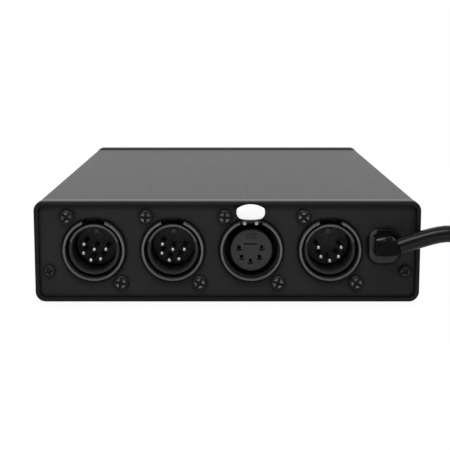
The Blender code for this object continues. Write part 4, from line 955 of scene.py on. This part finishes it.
def addSocketInsert(spots):
    radius, front = sockets["radius"], sockets["front"]
    body = addTurned([(radius, connectors["insertBack"]), (radius, front + 0.5), (radius - 0.15, front + 0.2),
                      (radius - 0.5, front)], 72)
    half, (low, high) = sockets["keyHalf"], pins["key"]
    cut(body, addBlock((-half, front - 1, low - gap), (half, front + sockets["keyDepth"], high + gap)))
    half, low, high = sockets["line"]
    x, depth = sockets["shift"], sockets["lineDepth"]
    cut(body, addBlock((x - half, front - 1, low), (x + half, front + depth, high)))
    wide, narrow, end = sockets["hole"] + 0.2, sockets["hole"], front + sockets["depth"]
    hole = addTurned([(wide, front - 0.2), (wide, front), (narrow, front + 0.2), (narrow, end)], 32)
    cut(body, joined(copiesAt(hole, spots)))
    return keepPlace(roundEdges(body, 0.06, 2, 55))


def addContacts(spots):      # sprung tubes inside the sockets, and the cups behind
    front, back = sockets["front"], connectors["insertBack"]
    outer, inner, near, far = sockets["tube"]
    start, stop, end = front + near, front + far, back + pins["cup"]
    tube = addTurned([(outer, start), (outer, stop), (inner, stop), (inner, start)], 32, True)
    outer, inner = sockets["cup"]
    cup = addTurned([(outer, back + 0.02), (outer, end), (inner, end), (inner, end - pins["cupDepth"])], 24)
    return joined(copiesAt(tube, spots) + copiesAt(cup, spots))


def addConnectors():
    six, five = [(0, 0)] + pinSpots(pins["six"]), pinSpots(pins["five"])
    shell, insert, sixPins, fivePins = addPinShell(), addPinInsert(), addPins(six), addPins(five)
    for index, name, node, contacts in ((0, "output1", "output_1", sixPins),
                                        (1, "output2", "output_2", sixPins), (3, "input", "input", fivePins)):
        place = connectorPlace(index)
        finishPiece(copyTo(shell, place), f"{name}Shell", blackChrome, [f"{node}_shell"])
        finishPiece(copyTo(contacts, place), f"{name}Pins", pinPlating)
        finishPiece(copyTo(insert, place), f"{name}Insert", pinInsulator, [f"{node}_insert"])
    drop(shell, insert, sixPins, fivePins)
    five = [(x + sockets["shift"], z) for x, z in five]
    shell, insert, contacts = (moveTo(piece, connectorPlace(2))
                               for piece in (addSocketShell(), addSocketInsert(five), addContacts(five)))
    finishPiece(shell, "thruShell", blackChrome, ["thru_shell"])
    finishPiece(insert, "thruInsert", socketInsulator, ["thru_insert"])
    finishPiece(contacts, "thruContacts", contactPlating)


def addConnectorScrews():
    screw = addScrew(connectorScrew)
    x, z = connectors["screw"]
    for number, spin in enumerate(connectorScrew["turns"], start=1):      # two on each connector
        centreX, face, centreZ = connectorPlace((number - 1) // 2)
        side = 1 if number % 2 == 0 else -1
        spun = turnTo(copyTo(screw), (0, spin, 0))
        moveTo(spun, (centreX + side * x, face - gap, centreZ - side * z))
        node = f"connector_screw_{number}"
        finishPiece(spun, f"connectorScrew{number}", connectorOxide, [node])
    drop(screw)


# Push latch, about its pivot
latch = {"pivot": (0.6, 10.25), "tab": (10.5, 5.7, 1.4), "tabZ": 14.75, "tabEdge": 0.45, "crown": (9.0, 20.0),
         "front": 4.6, "reach": 6.6, "armX": 2.2, "armWidth": 1.1, "armThickness": 1.0, "armFront": 2.7,
         "post": 1.0, "bridge": (2.4, 3.8), "bridgeInset": 0.6, "pin": (0.6, 3.9), "hook": (2.4, 0.7),
         "hookSlope": 24, "shift": -0.33}


def addTab(tabZ, front, back):      # rounded plate with an arched top and a flatter foot
    width, tall = latch["tab"][:2]
    body = addSlab(width, tall, 0.49 * tall, (0, tabZ), front, back, 12)
    crown, base = latch["crown"]
    arch = addRod(crown, front - 1, back + 1, (0, tabZ + tall / 2 - crown), 160)
    foot = addRod(base, front - 1, back + 1, (0, tabZ - tall / 2 + base), 240)
    return roundEdges(combine(body, "INTERSECT", (arch, foot)), latch["tabEdge"], 3)


def addLatch():
    depth, height = latch["pivot"]
    front, armFront = -latch["front"] - depth, -latch["armFront"] - depth
    back, postBack = front + latch["tab"][2], armFront + latch["post"]
    body = addTab(latch["tabZ"] - height, front, back)
    low, high = -latch["armThickness"] / 2, latch["armThickness"] / 2
    half, end = latch["armWidth"] / 2, latch["reach"]
    wide = latch["armX"] + half
    bridgeLow, bridgeHigh = latch["bridge"]
    for x in (-latch["armX"], latch["armX"]):
        arm = addBlock((x - half, armFront, low), (x + half, end, high))
        post = addBlock((x - half, armFront + 0.1, 0), (x + half, postBack, bridgeHigh - 0.1))
        fuse(body, roundEdges(arm, 0.15, 3), post)
    fuse(body, addBlock((-wide, back - latch["bridgeInset"], bridgeLow), (wide, postBack, bridgeHigh)))
    length, rise = latch["hook"]
    hook = addBlock((-wide, end - length, low), (wide, end, high + rise))
    slope = addBlock((-wide - 1, -length, 0), (wide + 1, length, 2))
    fuse(body, cut(hook, turnTo(slope, (latch["hookSlope"], 0, 0), (0, end - length, high))))
    radius, reach = latch["pin"]
    cut(body, addAxle(radius, reach))
    x, y, z = connectorPlace(2)
    keepPlace(roundEdges(body, 0.06, 2, 55))
    moveTo(body, (x + latch["shift"], y + depth, z + height))
    finishPiece(body, "thruLatch", latchFinish, ["thru_latch"], "latch")
    profile = [(radius - 0.15, -reach), (radius - 0.02, -reach + 0.15), (radius - 0.02, reach - 0.15),
               (radius - 0.15, reach)]
    pin = turnTo(addTurned(profile, 24), (0, 0, 90), (x, y + depth, z + height))
    finishPiece(pin, "thruLatchPin", hingeSteel, [], "latch")


# Strain relief, from the bezel's outer face
relief = {"x": 58.0, "z": 21.3, "flange": (11.7, 13.1, 4.6), "flangeFront": -1.0, "flangeBack": 1.2,
          "flangeEdge": 1.05, "neck": (9.0, 10.4, 4.0), "neckLength": 5.2, "ridge": (6.0, 12.4, 0.8),
          "ridgeLength": 1.6, "hood": (53.2, 60.9, 19.3, 25.6), "hoodReach": 10.4, "hoodEdge": 1.0,
          "brow": (58.9, 27.1, 45.0), "browRise": 11.0, "collarLength": 7.5, "collar": (4.0, 3.5)}


def addHood():      # block that turns the cord; its top rises with the cord, then falls away to the collar
    left, right, low, high = relief["hood"]
    body = addBlock((left, -relief["hoodReach"], low), (right, 0.2, high + 5))
    x, z, fall = relief["brow"]
    rising = turnTo(addBlock((-10, -20, 0), (30, 20, 20)), (0, -relief["browRise"], 0), (left, 0, high))
    falling = turnTo(addBlock((-20, -20, 0), (20, 20, 20)), (0, fall, 0), (x, 0, z))
    return roundEdges(cut(body, rising, falling), relief["hoodEdge"], 5)


def addCollar():      # ribbed sleeve along the cord, cut flush with the hood's foot
    x, y, z = cord["exit"]
    root, end = relief["collar"]
    profile = [(root, -relief["collarLength"]), (root - 0.1, -3.2), (end + 0.1, -2.9), (end + 0.12, -2.2),
               (end + 0.3, -1.9), (end + 0.25, -1.2), (end, -0.9), (end, -0.45), (end - 0.2, -gap)]
    collar = turnTo(addTurned(profile, 40), (0, 0, -90))
    turnTo(collar, (0, -cord["rise"], 0), (x, y, z - underside))
    left, low = relief["hood"][0], relief["hood"][2]
    return cut(collar, addBlock((left - 5, y - 10, low - 10), (x, 0, low)))


def addStrainRelief():
    centre = (relief["x"], relief["z"])
    back, start = relief["flangeBack"], case["panelBack"] + gap
    body = addSlab(*relief["flange"], centre, relief["flangeFront"], back, 10)
    neck = addSlab(*relief["neck"], centre, back - 0.5, back + relief["neckLength"])
    ridge = addSlab(*relief["ridge"], centre, start, start + relief["ridgeLength"], 4)
    roundEdges(body, relief["flangeEdge"], 5)
    fuse(body, roundEdges(neck, 0.2), roundEdges(ridge, 0.2), addHood())
    fuse(body, addCollar())
    moveTo(keepPlace(roundEdges(body, 0.08, 2, 55)), rearEnd[0])
    return finishPiece(body, "strainRelief", nylon, ["strain_relief"])


# Feet
foot = {"radius": 6.0, "topRadius": 6.6, "fromEnd": 19.0, "fromSide": 17.0, "height": 3.0,
        "dimple": [(1.6, 0.35), (2.0, 0.0)], "edge": [(-0.7, 0.0), (-0.2, 0.15), (0, 0.6)], "rim": 0.3}


def addFeet():
    top, height = foot["topRadius"], foot["height"]
    profile = foot["dimple"] + [(foot["radius"] + swell, up) for swell, up in foot["edge"]]
    profile += [(top, height - foot["rim"]), (top, height)]
    template = turnTo(addTurned(profile, 40), (90, 0, 0))
    across = case["width"] / 2 - foot["fromSide"]
    spots = [(x, rearFace + y, 0) for y in (foot["fromEnd"], case["length"] - foot["fromEnd"])
             for x in (-across, across)]
    for number, spot in enumerate(spots, start=1):
        finishPiece(copyTo(template, spot), f"foot{number}", rubber, [f"foot_{number}"])
    drop(template)


# Address switch on the other end
switch = {"x": -38.0, "z": 19.0, "decades": 3, "pitch": 8.0, "endWall": 2.6, "lip": 3, "bezelHeight": 26.0,
          "bezelFront": 0.0, "bodyHeight": 22.4, "bodyDepth": 24.0, "wheel": 9.5, "wheelWidth": 4.8,
          "standout": 0.9, "teeth": 20, "notch": 0.55, "drum": 8.7, "drumWidth": 2.9, "drumInset": 0.5,
          "axle": 1.2, "stub": 1.0, "figure": 2.5, "figureRise": 0.06, "shown": (0, 4, 1)}
switchWidth = (switch["decades"] * switch["pitch"] + 2 * switch["endWall"]
               - (switch["pitch"] - switch["wheelWidth"] - 2 * gap))
axisDepth = switch["wheel"] - switch["standout"]


def wheelX(index):
    return switch["x"] + (index - (switch["decades"] - 1) / 2) * switch["pitch"]


def addSwitchBody():
    x, z = centre = (switch["x"], switch["z"])
    body = addSlab(switchWidth + switch["lip"], switch["bezelHeight"], 1.2, centre, switch["bezelFront"],
                   case["panelFront"] - gap, 5)
    roundEdges(body, 0.35, 3)
    across, half = switchWidth / 2, switch["bodyHeight"] / 2
    fuse(body, addBlock((x - across, 0.4, z - half), (x + across, switch["bodyDepth"], z + half)))
    reach = switch["wheelWidth"] / 2 + gap
    for index in range(switch["decades"]):
        place = (wheelX(index), axisDepth, z)
        pocket = addAxle(switch["wheel"] + gap, reach, place, 72)
        cut(body, pocket, addAxle(switch["axle"] + gap, reach + switch["stub"] + 0.1, place))
    roundEdges(body, 0.12, 2, 50)
    turnTo(body, (0, 0, frontEnd[1]), frontEnd[0])
    finishPiece(body, "switchBody", switchPlastic, ["address_switch_body"])


def addWheel():      # notched rim, drum and axle, made about the Y axis and turned along X
    half, radius = switch["wheelWidth"] / 2, switch["wheel"]
    turns = [2 * math.pi * tooth / switch["teeth"] for tooth in range(switch["teeth"])]
    rim = addRod(radius, -half, half - switch["drumWidth"], sides=switch["teeth"] * 6)
    notch = addRod(switch["notch"], -half - 1, half, sides=12)
    spots = [(radius * math.cos(turn), radius * math.sin(turn)) for turn in turns]
    cut(rim, joined(copiesAt(notch, spots)))
    drum = addRod(switch["drum"], -half + switch["drumInset"], half, sides=72)
    reach = half + gap + switch["stub"]
    axle = addRod(switch["axle"], -reach, reach, sides=24)
    return turnTo(roundEdges(fuse(rim, drum, axle), 0.1, 2, 50), (0, 0, 90))


def addFigures(shown):      # the ten figures round the drum; the shown one faces out
    made = []
    for figure in range(10):
        bpy.ops.object.text_add(rotation=(math.pi / 2, 0, math.pi))
        text = bpy.context.object
        text.data.body = str(figure)
        text.data.size = switch["figure"] * 1.35 * mm
        text.data.align_x, text.data.align_y = "CENTER", "CENTER"
        text.data.extrude = switch["figureRise"] * mm
        bpy.ops.object.convert(target="MESH")
        text = settle(bpy.context.object)
        heights = [vertex.co.z for vertex in text.data.vertices]
        text.location = (0, (switch["drum"] - 0.02) * mm, -(min(heights) + max(heights)) / 2)
        settle(text)
        made.append(turnTo(text, (36 * (figure - shown), 0, 0)))
    return joined(made)


def addWheels():
    template = addWheel()
    drumMiddle = switch["wheelWidth"] / 2 - switch["drumWidth"] / 2
    y, z = frontFace - axisDepth, underside + switch["z"]
    for number, shown in enumerate(switch["shown"], start=1):
        x, node, body = -wheelX(number - 1), f"address_wheel_{number}", f"wheel_{number}"
        wheel, figures = copyTo(template, (x, y, z), 180), moveTo(addFigures(shown), (x + drumMiddle, y, z))
        finishPiece(wheel, f"addressWheel{number}", wheelPlastic, [node], body)
        finishPiece(figures, f"wheelFigures{number}", figureInk, (), body)
    drop(template)


# Lamps beside the switch: one for power, then a row for the channels
lampRow = {"radius": 2.5, "flange": 2.95, "flangeDepth": 1, "front": -0.7, "dome": 1.9, "pitch": 9.0,
           "first": 10.0, "power": -8.0, "z": 19.0, "count": 6}


def lampSpots():
    return [lampRow["power"]] + [lampRow["first"] + i * lampRow["pitch"] for i in range(lampRow["count"])]


def addLampRow():
    radius, flange, front = lampRow["radius"], lampRow["flange"], lampRow["front"]
    behind = case["panelBack"] + gap
    back = behind + lampRow["flangeDepth"]
    arcs = np.linspace(0.12, math.pi / 2, 8)
    dome = [(radius * math.sin(a), front + lampRow["dome"] * (1 - math.cos(a))) for a in arcs]
    template = addTurned(dome + [(radius, behind), (flange, behind), (flange, back), (1, back)], 32)
    x, y, z = frontEnd[0]
    for index, spot in enumerate(lampSpots()):
        lens, slot, name, node = powerLens, "power_lens", "powerLamp", "power_lamp"
        if index:
            lens, slot = channelLens, "channel_lens"
            name, node = f"channelLamp{index}", f"channel_lamp_{index}"
        finishPiece(copyTo(template, (x - spot, y, z + lampRow["z"]), 180), name, lens, [node])
    drop(template)


# Plug on the end of the coil, along +Y from the boot
plug = {"bootLength": 20.0, "boot": (3.9, 6.2), "ribs": 6, "ribPitch": 3, "grip": (25.6, 34.0, 19.4),
        "gripRadius": 6, "gripEdge": 2.0, "offset": -1.4, "groove": (0.9, 9, 8), "grooves": 4,
        "groovePitch": 4.4, "carrier": (20.0, 5.0, 15.4), "blade": (6.35, 17.5, 1.5),
        "bladeTaper": (0.78, 1, 0.5), "bladeHole": (1.6, 4.2), "spacing": 12.7, "bladeX": 4.5,
        "earthX": -7.4, "earth": (2.4, 20.5, 2)}
plugFaceY = plug["bootLength"] + plug["grip"][1]


def addCarrier(room=0, beyond=0):      # block that holds the blades, or the pocket for it
    wide, deep, high = plug["carrier"]
    across, up, off = wide / 2 + room, high / 2 + room, plug["offset"]
    return addBlock((off - across, plugFaceY - deep - room, -up), (off + across, plugFaceY + beyond, up))


def addPlugBody():
    width, height = plug["grip"][0], plug["grip"][2]
    off, boot = plug["offset"], plug["bootLength"]
    small, large = plug["boot"]
    body = addSlab(width, height, plug["gripRadius"], (off, 0), boot, plugFaceY, 10)
    roundEdges(body, plug["gripEdge"], 5)
    ribs = []
    for rib in range(plug["ribs"]):      # flex ribs along the boot
        start = 1 + rib * plug["ribPitch"]
        swell = small + (large - small) * start / boot
        ribs += [(swell, start), (swell + 0.1, start + 1.9), (swell - 0.5, start + 2.1),
                 (swell - 0.5, start + 2.8)]
    fuse(body, addTurned([(small - 0.3, 0), (small, 0.3)] + ribs + [(large, boot + 2)], 40))
    cut(body, addCarrier(gap, 1))
    radius, reach, first = plug["groove"]
    for side in (-1, 1):      # finger grooves on both flat sides
        for step in range(plug["grooves"]):
            place = (off, boot + first + plug["groovePitch"] * step, side * (height / 2 + 0.4))
            cut(body, addAxle(radius, reach, place, 20))
    return roundEdges(body, 0.15, 2, 50)


def addBlades():      # two flat blades with a hole in each, and the round earth pin
    across, out, thick = plug["blade"]
    x, end = plug["bladeX"], plugFaceY + out
    radius, fromEnd = plug["bladeHole"]
    made = []
    for z in (-plug["spacing"] / 2, plug["spacing"] / 2):
        low, high = (x - across / 2, plugFaceY - 1, z - thick / 2), (x + across / 2, end, z + thick / 2)
        blade = taper(addBlock(low, high), plug["bladeTaper"], (x, end, z))
        hole = turnTo(addRod(radius, -2, 2, sides=24), (90, 0, 0), (x, end - fromEnd, z))
        made.append(roundEdges(cut(blade, hole), 0.15, 2, 50))
    radius, length, curve = plug["earth"]
    arcs = np.linspace(0, 1.35, 6)
    nose = [(radius * math.cos(a), plugFaceY + length - curve + curve * math.sin(a)) for a in arcs]
    pin = addTurned([(radius, plugFaceY - 1)] + nose, 32)
    return joined(made + [moveTo(pin, (plug["earthX"], 0, 0))])


def addPlug():
    place = cordPoints[-1] + np.array([0, gap, 0])
    body, face = moveTo(addPlugBody(), place), moveTo(roundEdges(addCarrier(), 0.3), place)
    blades = moveTo(addBlades(), place)
    return [finishPiece(body, "plugBody", plugRubber, ["plug_body"]),
            finishPiece(blades, "plugBlades", brass, ["plug_blades"]),
            finishPiece(face, "plugFace", plugRubber)]


# Board and what it carries: the CAD's own solids in their finishes
relayCase = glossFinish("relayCase", (0.03, 0.07, 0.2), 0.3)
inside = {"main_board": boardFinish(), "transformer_core": coreFinish(),
          "transformer_winding": windingFinish(),
          "filter_capacitor": glossFinish("capacitorSleeve", (0.03, 0.03, 0.12), 0.25),
          "controller_chip": insertFinish("chipMoulding", (0.01, 0.01, 0.011), (0.016, 0.016, 0.017)),
          "fuse_block": glossFinish("terminalBlock", (0.03, 0.03, 0.03), 0.35), "mains_tail": cordFinish}
inside.update({f"relay_{number}": relayCase for number in range(1, lampRow["count"] + 1)})


def dressInside():
    for node, finish in inside.items():
        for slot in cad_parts[node].material_slots:
            slot.material = finish.material


addSleeve()
addBezels()
addRearPanel()
addFrontPanel()
addPanelScrews()
print("case ready")
addConnectors()
addConnectorScrews()
addLatch()
print("connectors ready")
reliefPiece = addStrainRelief()
addFeet()
plugPieces = addPlug()
print("cord ends and feet ready")
addSwitchBody()
addWheels()
addLampRow()
dressInside()
print("front end and inside ready")
